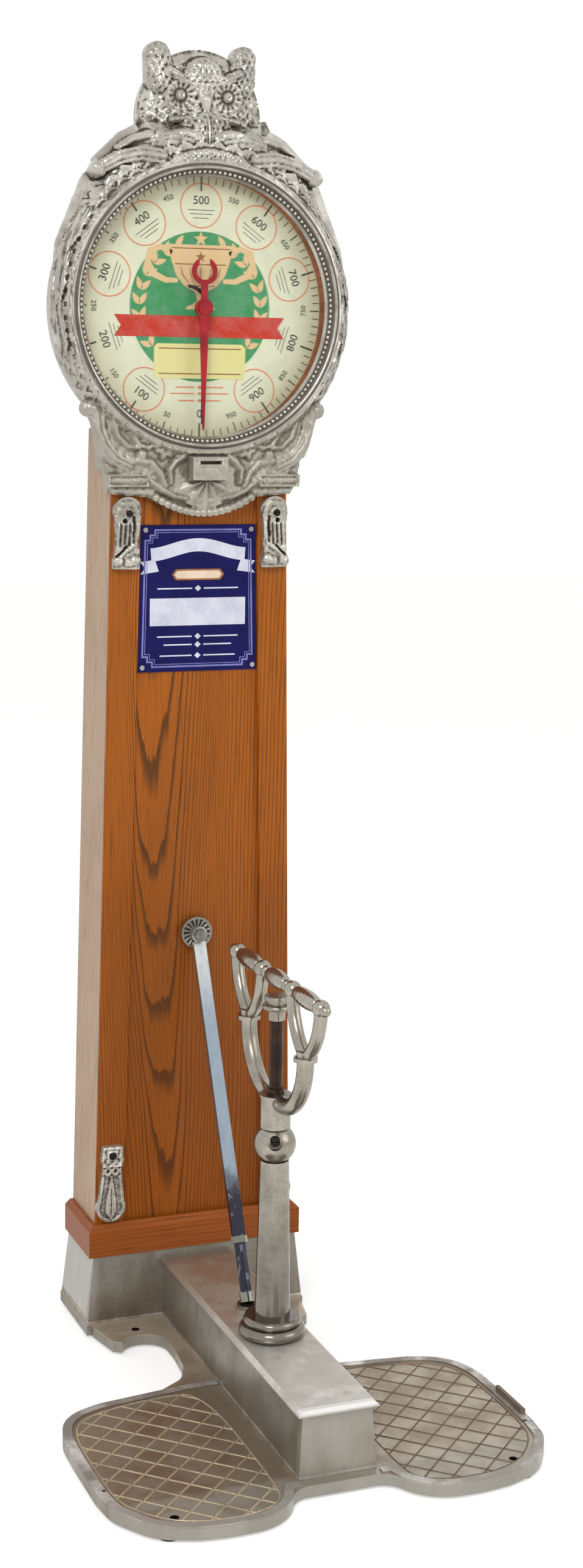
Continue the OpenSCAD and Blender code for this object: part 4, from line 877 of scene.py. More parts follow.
def box_distance(x, z, middle, half):
    """How far outside an upright rectangle a place is, negative inside it."""
    return np.maximum(np.abs(x - middle[0]) - half[0], np.abs(z - middle[1]) - half[1])


def stroke_distance(x, z, path, radii):
    """Distance outside a round stroke whose radius changes evenly along its path."""
    best = np.full(x.shape, 1e9)
    for _, _, distance, radius in path_stretches(x, z, path, radii):
        best = np.minimum(best, distance - radius)
    return best


def stroke(x, z, path, radii, base, flat=1.0):
    """Height of a round stroke that stands on base."""
    best = np.full(x.shape, FAR_DOWN)
    for _, _, distance, radius in path_stretches(x, z, path, radii):
        rise = flat * np.sqrt((radius * radius - distance * distance).clip(0))
        best = np.maximum(best, np.where(distance < radius, base + rise, FAR_DOWN))
    return best


def leaf_scroll(x, z, path, radii, base, rise, flutes):
    """Fluted leaf along a path; the flutes run its whole length."""
    high = np.full(x.shape, FAR_DOWN)
    for (ax, az), (bx, bz), distance, radius in path_stretches(x, z, path, radii):
        ex, ez = bx - ax, bz - az
        off = ((x - ax) * ez - (z - az) * ex) / math.hypot(ex, ez)
        s = distance / radius
        ridge = 1.7 * np.cos(math.pi * flutes * off / radius) * (1 - s ** 4)
        high = np.maximum(high, np.where(s < 1, base + rise * np.sqrt((1 - s * s).clip(0)) + ridge, FAR_DOWN))
    return high


def dome(x, z, cx, cz, radius, base, rise):
    """Height of a low dome."""
    d = np.hypot(x - cx, z - cz) / radius
    return np.where(d < 1, base + rise * np.sqrt((1 - d * d).clip(0)), FAR_DOWN)


def ring_bump(distance, middle, width):
    """Soft ridge of height 1 at a distance, as wide as width."""
    return np.exp(-(((distance - middle) / width) ** 2))


def scales(along, across):
    """Rows of overlapping rounded feathers, 0 to 1; their tips point to greater across."""
    row = np.floor(across)
    down = across - row
    near = (along + 0.5 * (row % 2)) % 1 - 0.5
    reach = np.hypot(near / 0.56, down)
    other = (along + 0.5 * ((row + 1) % 2)) % 1 - 0.5
    above = reach < 1
    height = np.where(above, 0.25 + 0.75 * reach ** 1.5, 0.25 * down)
    rib = np.where(above, np.exp(-((near / 0.05) ** 2)), np.exp(-((other / 0.05) ** 2)))
    return height + 0.15 * rib


def rough_cast(x, z, size, seed):
    """Smooth uneven height between -1 and 1, the same on every run."""
    cells = 97
    table = np.random.default_rng(seed).random((cells, cells)) * 2 - 1
    gx, gz = x / size, z / size
    ix, iz = np.floor(gx).astype(int), np.floor(gz).astype(int)
    fx, fz = gx - ix, gz - iz
    fx, fz = fx * fx * (3 - 2 * fx), fz * fz * (3 - 2 * fz)
    left, right = ix % cells, (ix + 1) % cells
    low, high = [table[left, row % cells] * (1 - fx) + table[right, row % cells] * fx for row in (iz, iz + 1)]
    return low * (1 - fz) + high * fz


def blurred(height, reach):
    """Mean height round each point of a square grid."""
    for axis in (0, 1):
        height = sum(np.roll(height, k, axis) for k in range(-reach, reach + 1)) / (2 * reach + 1)
    return height


def edge_slope(edge, x, z):
    """Edge distance of places and how it grows along X and Z."""
    reach = 0.3
    slope_x = (edge(x + reach, z) - edge(x - reach, z)) / (2 * reach)
    slope_z = (edge(x, z + reach) - edge(x, z - reach)) / (2 * reach)
    return edge(x, z), slope_x, slope_z


def grid_places(spots, bounds):
    """X and Z of places on a grid of size 1 that is stretched over the bounds."""
    (x0, z0), (x1, z1) = bounds
    spots = np.array([spot[:2] for spot in spots])
    return x0 + (spots[:, 0] + 1) / 2 * (x1 - x0), z0 + (spots[:, 1] + 1) / 2 * (z1 - z0)


def relief(bounds, cell, edge, height, back):
    """Solid in X and Z whose front follows a height and whose outline follows an edge distance."""
    (x0, z0), (x1, z1) = bounds
    nx, nz = round((x1 - x0) / cell), round((z1 - z0) / cell)
    bm = bmesh.new()
    bmesh.ops.create_grid(bm, x_segments=nx, y_segments=nz, size=1)
    middles = grid_places([f.calc_center_median() for f in bm.faces], bounds)
    outside = [f for f, off in zip(bm.faces, edge(*middles)) if off > 0]
    bmesh.ops.delete(bm, geom=outside, context="FACES")

    x, z = grid_places([v.co for v in bm.verts], bounds)
    full_x, full_z = np.meshgrid(np.linspace(x0, x1, nx + 1), np.linspace(z0, z1, nz + 1), indexing="ij")
    full = height(full_x, full_z)
    metal = full > LOWEST_METAL
    reach = max(1, round(DIRT_AND_SHADE_REACH / cell))
    share = blurred(metal.astype(float), reach).clip(0.01)
    # How far each place lies below the mean round it; the finish paints dirt and shade there
    valley = np.where(metal, blurred(np.where(metal, full, 0), reach) / share - full, 0)
    ix = np.rint((x - x0) / (x1 - x0) * nx).astype(int)
    iz = np.rint((z - z0) / (z1 - z0) * nz).astype(int)
    hollow = valley[ix, iz] * step(0, 4 * cell, -edge(x, z))

    rim = np.array([v.is_boundary for v in bm.verts])
    rx, rz = x[rim], z[rim]
    for _ in range(2):
        gap, slope_x, slope_z = edge_slope(edge, rx, rz)
        rx, rz = rx - gap * slope_x, rz - gap * slope_z
    front = height(x, z)
    _, slope_x, slope_z = edge_slope(edge, rx, rz)
    front[rim] = height(rx - RIM_INSET * slope_x, rz - RIM_INSET * slope_z).clip(min=RIM_LOW)
    x[rim], z[rim] = rx, rz
    layer = bm.verts.layers.float.new("hollow")
    for i, vert in enumerate(bm.verts):
        vert.co = (x[i], CAB_FRONT - front[i], z[i])
        vert[layer] = hollow[i]

    rims = [e for e in bm.edges if e.is_boundary]
    grown = bmesh.ops.extrude_edge_only(bm, edges=rims)["geom"]
    far = {v for v in grown if isinstance(v, bmesh.types.BMVert)}
    for vert in far:
        vert.co.y = back(vert.co.x, vert.co.z)
        vert[layer] = 0
    far_edges = [e for e in grown if isinstance(e, bmesh.types.BMEdge) and far.issuperset(e.verts)]
    bmesh.ops.triangle_fill(bm, use_beauty=True, use_dissolve=False, edges=far_edges, normal=(0, 1, 0))
    return bm


def flat_back(x, z):
    """Back that lies flush on the cabinet's front."""
    return CAB_FRONT


def dial_height(z):
    """Height above the dial's centre of a place given above the floor."""
    return z - DIAL_Z


# Forms of the head, from the dial's centre; a path and an outline are drawn for the right half
SHOULDER = [
    (-60, 40), (HEAD_R - 2, 40), (HEAD_R - 11, 88), (HEAD_R - 33, 141), (HEAD_R - 46, 172),
    (HEAD_R - 64, 202), (HEAD_R - 100, 236), (OWL_R + 8, 248), (OWL_R, OWL_RISE), (-60, OWL_RISE),
]
CREST = [
    (-60, -292), (0, -292), (28, -288), (58, -277), (84, -266), (134.5, -262), (139.5, -254), (145.5, -236),
    (149.5, -216), (158.5, -192), (164.5, -164), (175.5, -138), (HEAD_R - 38, -120), (-60, -120),
]
EAR_PATH = [(57, OWL_RISE + 46), (63.3, OWL_RISE + 81.5)]
EAR_RADII = (23, 18)
EAR_BASE = -19
EYE = (35, OWL_RISE + 27)
KNOB = (169, -142)
BEADS = 17
MOULDING = ((114, -242), (30.5, 9))
CHEEK_FOOT = 1262
CHEEK_HW = 139.5


def bead_places():
    """Beads along the crest's lower edge, right half and middle."""
    for i in range(BEADS // 2 + 1):
        t = i / (BEADS // 2)
        yield t * 72, -288 + 22 * t * t


def head_edge(x, z):
    """Distance outside the head's outline or inside its round opening."""
    u = np.abs(x)
    r = np.hypot(u, z)
    parts = [
        r - HEAD_R,
        outline_distance(SHOULDER, u, z),
        outline_distance(CREST, u, z),
        np.hypot(u, z - OWL_RISE) - OWL_R,
        stroke_distance(u, z, EAR_PATH, EAR_RADII),
        np.hypot(u - KNOB[0], z - KNOB[1]) - 12,
        box_distance(u, z, *MOULDING),
    ]
    parts += [np.hypot(u - bx, z - bz) - 6 for bx, bz in bead_places()]
    return np.maximum(np.minimum.reduce(parts), HEAD_IN - r)


def ring_relief(u, r, turn):
    """Wings round the dial: cords, a row of pits and long feathers; leaves below, small feathers above."""
    wing = step(26, 40, turn) * (1 - step(100, 122, turn))
    body_r = [HEAD_IN, HEAD_IN + 7, HEAD_R - 8, HEAD_R - 2, HEAD_R, HEAD_R + 8]
    body = np.interp(r, body_r, [36, 34.5, 19, 9, 5, FAR_DOWN])
    cords = 3.4 * np.abs(np.sin(math.pi * (r - HEAD_IN) / 4.6)) - 1.2
    pits = -4.2 * step(0.1, 0.7, np.cos(np.radians(turn * 72))) * ring_bump(r, 208.5, 1.9)
    across = (r - 210.5) / 12
    bow = (2 * across - 1) ** 2
    tip = 1 - 0.3 * bow
    along = ((turn - 71) / 19 - tip) % 1
    barbs = 1.3 * np.cos(r * 1.2 + along * 3)
    long_feather = 5.0 * along - 2 + 2.2 * (1 - bow).clip(0) + barbs
    feathers = np.where(r < 210, cords * (r < 207) + pits, long_feather)
    leaves = 4.6 * scales(turn / 5.5, (HEAD_R + 2 - r) / 8.5) - 2.2 + 1.4 * rough_cast(turn * 2.4, r, 5, 6)
    return body + wing * feathers + (1 - wing) * leaves


def shoulder_relief(u, z, r, turn):
    """Shoulders of the wings with rows of rounded feathers."""
    d = -outline_distance(SHOULDER, u, z)
    height = -10 + 38 * step(0, 32, d) + 5.5 * scales(turn / 6.2, (r - 190) / 12.5) - 3
    return np.where(d > 0, height, FAR_DOWN)


def eye_relief(head, u, z):
    """Head of the owl with its face discs and eyes let in."""
    e = np.hypot(u - EYE[0], z - EYE[1])
    spoke = np.degrees(np.arctan2(z - EYE[1], u - EYE[0]))
    disc = 6 + 2.6 * ring_bump(e, 20, 4) + 1.7 * np.sin(np.radians(spoke * 13)) * step(9, 13, e)
    disc -= 3.0 * ring_bump(e, 9, 2.6)
    inside = 1 - step(19, 26, e)
    head = np.where(inside > 0, head + (disc - head) * inside, head)
    return np.where(e < 7, 5 + 0.9 * np.sqrt((49 - e * e).clip(0)) - 2.5 * (e < 2.6), head)


def owl_relief(u, z):
    """Head of the owl: face discs, eyes, beak, ears and plumage."""
    w = z - OWL_RISE
    far = np.hypot(u, w)
    angle = np.degrees(np.arctan2(u, w - 4))
    head = np.where(far < OWL_R, -30 + 40 * np.sqrt((1 - (far / OWL_R) ** 2).clip(0)), FAR_DOWN)
    plumage = 3.8 * scales(angle / 12, far / 8.5) - 1.7 + 1.5 * rough_cast(u, z, 4.5, 8)
    head += np.where(far < OWL_R, plumage * (1 - 0.85 * step(78, 84, far) * step(10, 30, w)), 0)
    head += np.where(far < OWL_R, 2.0 * rough_cast(u, z, 8, 21), 0)
    forehead = dome(u, z, 0, OWL_RISE + 50, 30, 0, 12) + 3.2 * scales(u / 8.5 + 0.5, -w / 7.5 + 40)
    head = merge_high(head, np.maximum(forehead, dome(u, z, 0, OWL_RISE + 24, 12, 8, 7)), 5)
    head = eye_relief(head, u, z)
    brow = leaf_scroll(u, w, [(5, 24), (18, 42), (36, 52), (52, 58)], (5, 8), 0, 11, 2)
    brow = np.where(brow > FAR_DOWN, brow + 2.6 * rough_cast(u, z, 4, 22), brow)
    beak = stroke(u, w, [(0, 20), (0, 8), (0, -6)], (9, 3.5), 10, 1.1)
    cheeks = stroke(u, w, [(12, 4), (26, -6), (48, -6)], (8, 5), 8) + 1.5 * np.sin(angle * 0.5)
    ear = stroke(u, z, EAR_PATH, EAR_RADII, EAR_BASE)
    tuft = 4.4 * scales((u - 60) / 9, -w / 8.5 + 40) - 2 + 1.6 * rough_cast(u, z, 4, 9)
    ear = np.where(ear > FAR_DOWN, ear + tuft * step(0, 5, ear - EAR_BASE), ear)
    head = merge_high(head, brow, 4)
    for part in (beak, cheeks, ear):
        head = merge_high(head, part, 1.6)
    return head


def breast_relief(u, z):
    """Breast below the beak with a fluted tuft in its middle and leaves at its foot."""
    w = z - (OWL_RISE - 34)
    far = np.hypot(u, w) / 46
    plumage = 4.5 * scales(u / 9, -w / 8.5 + 40) - 2 + 1.6 * rough_cast(u, z, 4.5, 10)
    breast = np.where(far < 1, 27 * np.sqrt((1 - far * far).clip(0)) + plumage, FAR_DOWN)
    tuft = stroke(u, z, [(0, 250), (0, 232)], (9, 12), 18) + 2.2 * np.cos(u * 1.5)
    ruff = stroke(u, z, [(14, 232), (34, 238), (58, 232), (80, 222)], (8, 7), 22)
    ruff += 1.6 * rough_cast(u, z, 5, 13)
    garland = stroke(u, z, [(0, 211), (24, 208), (46, 201), (60, 193)], (7, 6), 29)
    garland += 1.8 * np.sin(u * 0.8) * np.sin(z * 0.8)
    return merge_high(merge_high(breast, ruff, 1.5), np.maximum(tuft, garland), 1.5)


def banner_relief(u, z):
    """Fluted folds that sweep over each shoulder, with a rolled end."""
    high = leaf_scroll(u, z, [(72, 204), (100, 207), (130, 200), (150, 189)], (11, 9), 27, 9, 2)
    folds = [
        leaf_scroll(u, z, [(28, 227), (52, 232), (80, 225)], (8, 8), 22, 8, 2),
        leaf_scroll(u, z, [(84, 232), (108, 226), (128, 214)], (8, 5), 17, 8, 1),
        dome(u, z, 160, 184, 12, 24, 9),
        dome(u, z, 70, 198, 8, 27, 6),
    ]
    for fold in folds:
        high = merge_high(high, fold, 1.2)
    return high + rough_cast(u, z, 5, 14)


def flower_relief(u, z):
    """Flower of five petals at each side of the coin entry."""
    spokes = np.arctan2(z + 200, u - 62)
    petals = np.hypot(u - 62, z + 200) / (15 * (0.8 + 0.2 * np.cos(5 * spokes)))
    high = 24 + 8 * np.sqrt((1 - petals ** 2).clip(0)) - 4 * ring_bump(petals, 0, 0.25)
    return np.where(petals < 1, high, FAR_DOWN)


def coin_entry_relief(crest, u, z):
    """Crest with the box of the coin entry on it, ridged below its lip, and the slot through both."""
    box = box_distance(u, z, (0, -224.5), (27, 17.5)) < 0
    lip = box_distance(u, z, (0, -216), (19, 5.5)) < 0
    slot = box_distance(u, z, (0, -216), (15.5, 2.4)) < 0
    ridges = 1.6 * step(0.2, 0.6, np.cos((z + 207) * 1.05)) * (z > -213)
    front = np.where(box, 47 + ridges * (u < 24), FAR_DOWN)
    front = np.where(lip & box, 48.2, front)
    return np.where(slot, 33, np.maximum(crest, front))


def crest_relief(u, z):
    """Scrolls, leaves, mouldings and the coin entry below the dial."""
    c = -outline_distance(CREST, u, z)
    crest = 10 + 5 * step(0, 4, c) + 7 * step(11, 20, c) + 1.8 * rough_cast(u, z, 6, 5)
    crest = np.where(c > 0, crest, FAR_DOWN)
    reach = np.hypot(u, z + 240)
    fan = 33 - 0.3 * reach + 2.2 * np.cos(11 * np.arctan2(u, -(z + 240)))
    crest = np.maximum(crest, np.where((reach < 44) & (z < -240), fan, FAR_DOWN))
    outer_scroll = [(163, -148), (160, -172), (150, -194), (134, -212), (114, -222)]
    scrolls = [
        leaf_scroll(u, z, outer_scroll, (15, 9), 17, 10, 2),
        leaf_scroll(u, z, [(137, -160), (131, -180), (116, -194), (100, -196)], (8, 5), 20, 7, 1),
        leaf_scroll(u, z, [(108, -178), (100, -192), (86, -196), (76, -188)], (7, 4), 22, 6, 1),
        leaf_scroll(u, z, [(100, -214), (82, -216), (68, -230), (60, -248)], (9, 6), 20, 7, 1),
        leaf_scroll(u, z, [(34, -208), (44, -214), (54, -226), (52, -244)], (8, 5), 23, 6, 1),
        leaf_scroll(u, z, [(78, -244), (62, -256), (44, -264), (24, -268)], (6, 5), 18, 6, 1),
        dome(u, z, *KNOB, 13, 18, 12),
        dome(u, z, KNOB[0] - 1, KNOB[1] + 1, 5, 28, 5),
        dome(u, z, 96, -206, 8, 24, 8),
        flower_relief(u, z),
    ]
    for part in scrolls:
        crest = merge_high(crest, part, 1.4)
    off = box_distance(u, z, *MOULDING)
    middle_row = np.abs(z - MOULDING[0][1]) < 2.6
    beads = 2.0 * np.sqrt((1 - (((u % 6) - 3) / 2.9) ** 2).clip(0)) * middle_row
    crest = np.where(off < 0, 21 + 3.0 * (off > -3.2) + beads, crest)
    for bx, bz in bead_places():
        crest = np.maximum(crest, dome(u, z, bx, bz, 6.8, 14, 9.5))
    return coin_entry_relief(crest, u, z)


def head_height(x, z):
    """Height of the head's front over the cabinet's."""
    u = np.abs(x)
    r = np.hypot(u, z)
    turn = np.degrees(np.arctan2(u, z))
    top = merge_high(ring_relief(u, r, turn), shoulder_relief(u, z, r, turn), 1.0)
    top = merge_high(top, breast_relief(u, z), 1.2)
    top = np.maximum(top, owl_relief(u, z))
    high = np.maximum(top, crest_relief(u, z))
    high += 0.7 * rough_cast(x, z, 6.5, 11) + 0.35 * rough_cast(x, z, 2.8, 12)
    high = merge_high(high, banner_relief(u, z), 1.5)
    return np.where(r < HEAD_IN + 4.5, 35.5 - 0.2 * (r - HEAD_IN), high)


def head_back(x, z):
    """Back of the head: flush with the cabinet's front, but further back behind the owl."""
    owl = math.hypot(x, z - OWL_RISE) < OWL_R + 1 or z > OWL_RISE + 20
    return OWL_Y if owl and z > 214 else CAB_FRONT


def add_cheeks(bm):
    """Sides of the crest that reach back along the cabinet."""
    low, high = dial_height(CHEEK_FOOT), dial_height(CAB_TOP)
    profile = [
        (CAB_FRONT, low), (CAB_FRONT + 16, low), (CAB_FRONT + 26, low + 29), (CAB_FRONT + 62, low + 34),
        (CAB_FRONT + 62, high), (CAB_FRONT, high),
    ]
    inner = half_w(CHEEK_FOOT) + 0.4
    for side in (-1, 1):
        face = bm.faces.new([bm.verts.new((side * inner, y, z)) for y, z in profile])
        push_faces(bm, [face], (side * (CHEEK_HW - inner), 0, 0))


def add_ear_backs(bm):
    """Round backs of the ears, which stand free of the shell."""
    foot, tip = (Vector((x, CAB_FRONT + 19, z)) for x, z in EAR_PATH)
    for side in (-1, 1):
        for t in (0, 1 / 3, 2 / 3, 1):
            spot = foot.lerp(tip, t)
            spot.x *= side
            place = Matrix.Translation(spot)
            radius = 0.96 * (EAR_RADII[0] + (EAR_RADII[1] - EAR_RADII[0]) * t)
            bmesh.ops.create_uvsphere(bm, u_segments=24, v_segments=16, radius=radius, matrix=place)


def corbel_edge(x, z):
    """Distance outside a corbel's outline: a round top, a waisted body and a broad foot."""
    body = [(-19, -25), (-17, -60), (-18.5, -96), (18.5, -96), (17, -60), (19, -25)]
    top = np.hypot(x, z + 21) - 20.5
    foot = box_distance(x, z, (0, -96), (20, 7.5))
    return np.minimum.reduce([top, outline_distance(body, x, z), foot])


def corbel_height(x, z):
    """Curved lobes over the top, a slot and a hole below them, a fluted leaf and three toes at the foot."""
    flutes = 1.9 * np.cos(x * 0.95 + 0.5 * np.sin(z / 9)) * step(-36, -42, z) * (1 - step(-68, -76, z))
    high = 9 + 3.5 * step(0, 5, 19 - np.abs(x)) + flutes
    lobes = [
        stroke(x, z, [(8, -12), (-6, -10), (-14, -22), (-16, -42), (-14, -58)], (7, 3.2), 10, 0.9),
        stroke(x, z, [(4, -18), (13, -20), (16, -34)], (7, 4), 9, 0.9),
        dome(x, z, -1, -24, 8, 11, 5),
        stroke(x, z, [(-9, -70), (2, -78), (12, -88)], (4.2, 3), 12),
        dome(x, z, -12, -91, 9, 10, 8),
        dome(x, z, -3, -94, 8, 10, 8),
        dome(x, z, 13, -93, 8.5, 10, 8),
        dome(x, z, -14, -78, 6, 10, 5),
        dome(x, z, 15, -76, 6, 10, 4),
    ]
    for lobe in lobes:
        high = merge_high(high, lobe, 1.2)
    slot = stroke_distance(x, z, [(-9, -30), (-10, -44), (-8, -58)], (2.0, 1.2))
    crack = stroke_distance(x, z, [(1, -71), (9, -80), (16, -86)], (1.2, 1.4))
    high = np.where((slot < 0) | (crack < 0), 5, high)
    high += 0.5 * rough_cast(x, z, 4, 21) + 0.3 * rough_cast(x, z, 1.8, 22)
    return np.where(np.hypot(x - 4, z + 35) < 3.2, 1, high)


def drop_edge(x, z):
    """Distance outside a drop ornament's outline: a round drop on a narrow neck and a plate."""
    body = [(-21, 4), (-14, 62), (-17, 74), (-15, 96), (15, 96), (17, 74), (14, 62), (21, 4)]
    return np.minimum(np.hypot(x, z) - 22.5, outline_distance(body, x, z))


def drop_height(x, z):
    """Drop with a bright rim round a leaf, crossing bands at its waist and a plate with a boss at the top."""
    rim = 4.2 * ring_bump(-drop_edge(x, z), 3.2, 2.0)
    leaf_wide = np.interp(z, [-18, -8, 10, 40, 52], [0.5, 9, 9, 3, 0.5])
    leaf_up = 5.5 * np.sqrt((1 - (x / leaf_wide) ** 2).clip(0)) * (z > -18) * (z < 52)
    leaf_up -= 2.2 * ring_bump(x, 0, 1) * (z < 40)
    bands = 2.2 * np.maximum(np.cos((x + z * 0.8) * 0.55), np.cos((x - z * 0.8) * 0.55))
    waist = step(46, 52, z) * (1 - step(62, 68, z))
    plate_top = step(62, 67, z)
    high = (6 + rim + leaf_up) * (1 - waist) * (1 - plate_top) + waist * (8 + bands)
    high += plate_top * (9.5 + 1.6 * np.cos(x * 0.55) * np.cos((z - 80) * 0.42) + 0.5 * rim)
    high = merge_high(high, dome(x, z, 0, 82, 9, 9, 5), 1.2)
    high += 0.5 * rough_cast(x, z, 4, 31) + 0.3 * rough_cast(x, z, 1.8, 32)
    return np.where(np.hypot(x, z - 82) < 6, 11, high)


def rosette_edge(x, z):
    """Distance outside the rosette or inside its hole."""
    r = np.hypot(x, z)
    return np.maximum(r - 23.8, 6.3 - r)


def rosette_height(x, z):
    """Fluted disc with a bright rim."""
    r = np.hypot(x, z)
    flutes = (0.5 + 0.5 * np.cos(16 * np.arctan2(z, x))) * step(9, 12, r) * (1 - step(19, 21, r))
    return 5.8 - 3.0 * flutes - 1.6 * (1 - step(7, 9, r)) + 0.3 * rough_cast(x, z, 3, 41)


def on_stile(bm, z, side):
    """Puts an ornament on the middle of a stile, leaning with it."""
    lean = Matrix.Rotation(-math.atan(TAPER), 4, "Y")
    place = Matrix.Translation((half_w(z) - STILE_W / 2 + 0.5, 0, z)) @ lean
    bmesh.ops.transform(bm, matrix=place, verts=bm.verts)
    if side < 0:
        turn_over(bm)


def add_casting(name, bm, node, finish=None):
    """Cast piece that stands for a node of the frame."""
    add_piece(name, bm, finish or MATERIALS["silver_casting"], 60, replaces=[node])


# Prints


# Thickness of each print on the dial; the thicker one shows where two lie over each other
DISC_T = 0.15
LEAF_T = 0.3
RING_T = 0.4
CUP_T = 0.45
MARK_T = 0.5
RIBBON_T = 0.55
CUP_LINE_T = 0.6
EDGE_RULE_T = 0.75

# The same for the enamels of the sign
TAIL_T = 0.2
BORDER_T = 0.25
RULE_T = 0.3
PANEL_T = 0.35
GOLD_T = 0.45


def dial_plate(bm, points, thick):
    """Print on the dial, its outline given from the dial's centre."""
    plate(bm, [(x, DIAL_Z + z) for x, z in points], DIAL_Y, thick)


def broken_rule(bm, z, gap, reach, half_high, gem, y, thick):
    """Ruled line with a gap in its middle that a small diamond fills."""
    for side in (-1, 1):
        plate(bm, rectangle(side * gap, side * reach, z - half_high, z + half_high), y, thick)
    plate(bm, diamond(*gem, z), y, thick)


def number_place(value, full, radius):
    """Place and reading turn of a value on the scale, which starts at the foot and runs clockwise."""
    turn = 180 + 360 * value / full
    x, z = on_circle(radius, turn)
    lean = (turn + 180) % 360 - 180
    return x, z, lean if abs(lean) < 90 else lean + 180, turn


def print_marks(bm):
    """Scale: long, middle and short marks, large and small numbers, and short lines inside the rings."""
    dial = settings().dial
    full = dial.top_value
    for i in range(dial.marks):
        foot, half_wide = (162, 1.1) if i % 10 == 0 else (168, 0.7) if i % 5 == 0 else (172, 0.5)
        mark = rectangle(-half_wide, half_wide, foot, 181.5)
        dial_plate(bm, turned(mark, 360 * i / dial.marks), MARK_T)
    for first, radius, size in ((0, 149, 16.5), (50, 158, 10.5)):
        for value in range(first, full, 100):
            x, z, lean, _ = number_place(value, full, radius)
            letters(bm, str(value), size, lean, x, DIAL_Z + z, DIAL_Y, MARK_T)
    for value in range(100, full, 100):
        x, z, _, turn = number_place(value, full, 136)
        for off, half in ((0, 20), (-5.5, 17), (-11, 12)):
            aside, up = on_circle(off, turn)
            dial_plate(bm, turned(rectangle(-half, half, -0.35, 0.35), turn, x + aside, z + up), MARK_T)


def print_rings(bm):
    """Rings round some of the numbers, and three broken rules on the plaque."""
    for value in (100, 300, 400, 500, 600, 700, 900):
        x, z, _, _ = number_place(value, settings().dial.top_value, 142)
        band(bm, circle(31.3, x, DIAL_Z + z), circle(29.8, x, DIAL_Z + z), DIAL_Y, RING_T)
    for row, half in ((-111, 36), (-120, 44), (-130, 32)):
        broken_rule(bm, DIAL_Z + row, 8, half, 0.8, (3.5, 3), DIAL_Y, RING_T)


# The disc in the middle and the branches lie a little above the dial's centre
DISC_R = 105
DISC_RISE = 1.5
BRANCH_R = 91
CUP = [
    (47, 82), (50, 85), (50, 88), (-50, 88), (-50, 85), (-47, 82), (-44, 66), (-37, 46), (-25, 31), (-11, 24),
    (-6, 18), (-5, 10), (-12, 5), (-20, 2), (-22, -2), (22, -2), (20, 2), (12, 5), (5, 10), (6, 18), (11, 24),
    (25, 31), (37, 46), (44, 66),
]


def print_disc(bm):
    """Round field in the middle of the dial."""
    plate(bm, circle(DISC_R, 0, DIAL_Z + DISC_RISE, 96), DIAL_Y, DISC_T)


def print_cup(bm):
    """Two-handled cup between two leafy branches."""
    dial_plate(bm, CUP, CUP_T)
    handle = [(43, 76), (60, 84), (75, 78), (79, 62), (70, 46), (52, 38), (34, 38)]
    for side in (1, -1):
        path = [(side * x, z) for x, z in handle]
        dial_plate(bm, strip(path, [3, 4.5, 5, 5, 5, 4, 3]), CUP_T)
    for side in (-1, 1):
        for i in range(9):
            turn = 128 - 13 * i
            x, z = on_circle(BRANCH_R, side * turn)
            for lean in (-32, 32):
                blade = turned(leaf(20, 8.5), side * (turn - 90) + lean, x, z + DISC_RISE)
                dial_plate(bm, blade, LEAF_T)
    dial_plate(bm, star(11, 96), CUP_T)


def print_cup_lines(bm):
    """Dark lines in the cup, a star on it, and rules along the plaque's long edges."""
    for z, half in ((82, 44), (60, 39), (30, 22)):
        dial_plate(bm, [(-half, z), (half, z), (half - 1, z + 1.6), (1 - half, z + 1.6)], CUP_LINE_T)
    for x in (-30, -16, 0, 16, 30):
        flute = [(x, 57), (x * 0.9, 46), (x * 0.55, 33)]
        dial_plate(bm, strip(flute, [0.5, 1.0, 0.4]), CUP_LINE_T)
    dial_plate(bm, star(8, 71), CUP_LINE_T)
    for z0, z1 in ((-56, -57.6), (-93, -91.4)):
        dial_plate(bm, rectangle(-62, 62, z0, z1), EDGE_RULE_T)


def print_ribbon(bm):
    """Bare ribbon across the dial with notched ends."""
    dial_plate(bm, [(-128, -11), (128, -11), (118, -26), (128, -41), (-128, -41), (-118, -26)], RIBBON_T)


def print_plaque(bm):
    """Bare plaque below the ribbon with cut corners."""
    right = [(64, -50), (69, -55), (69, -94), (64, -99)]
    dial_plate(bm, [(-64, -50), *right, *mirrored(right)[:-1]], RIBBON_T)


def sign_outline(inset, notch=15):
    """Outline of the plate drawn in by inset, with stepped corners."""
    half = notch * 0.5
    points = []
    for z, toward in ((SIGN_TOP - inset, -1), (SIGN_TOP - SIGN_H + inset, 1)):
        edge = half_w(z) - SIGN_GAP - inset
        corner = [
            (edge - notch, z), (edge - notch, z + toward * half), (edge - half, z + toward * half),
            (edge - half, z + toward * notch), (edge, z + toward * notch),
        ]
        points += corner if toward < 0 else corner[::-1]
    return points + mirrored(points)


def lozenge(z, half_wide, half_high, cut):
    """Long panel with pointed ends."""
    flat = half_wide - cut
    return [
        (-half_wide, z), (-flat, z - half_high), (flat, z - half_high), (half_wide, z), (flat, z + half_high),
        (-flat, z + half_high),
    ]


def print_border(bm):
    """Double border of the enamelled plate."""
    for outer, inner in ((6, 8.6), (10.4, 11.4)):
        band(bm, sign_outline(outer), sign_outline(inner), SIGN_Y, BORDER_T)


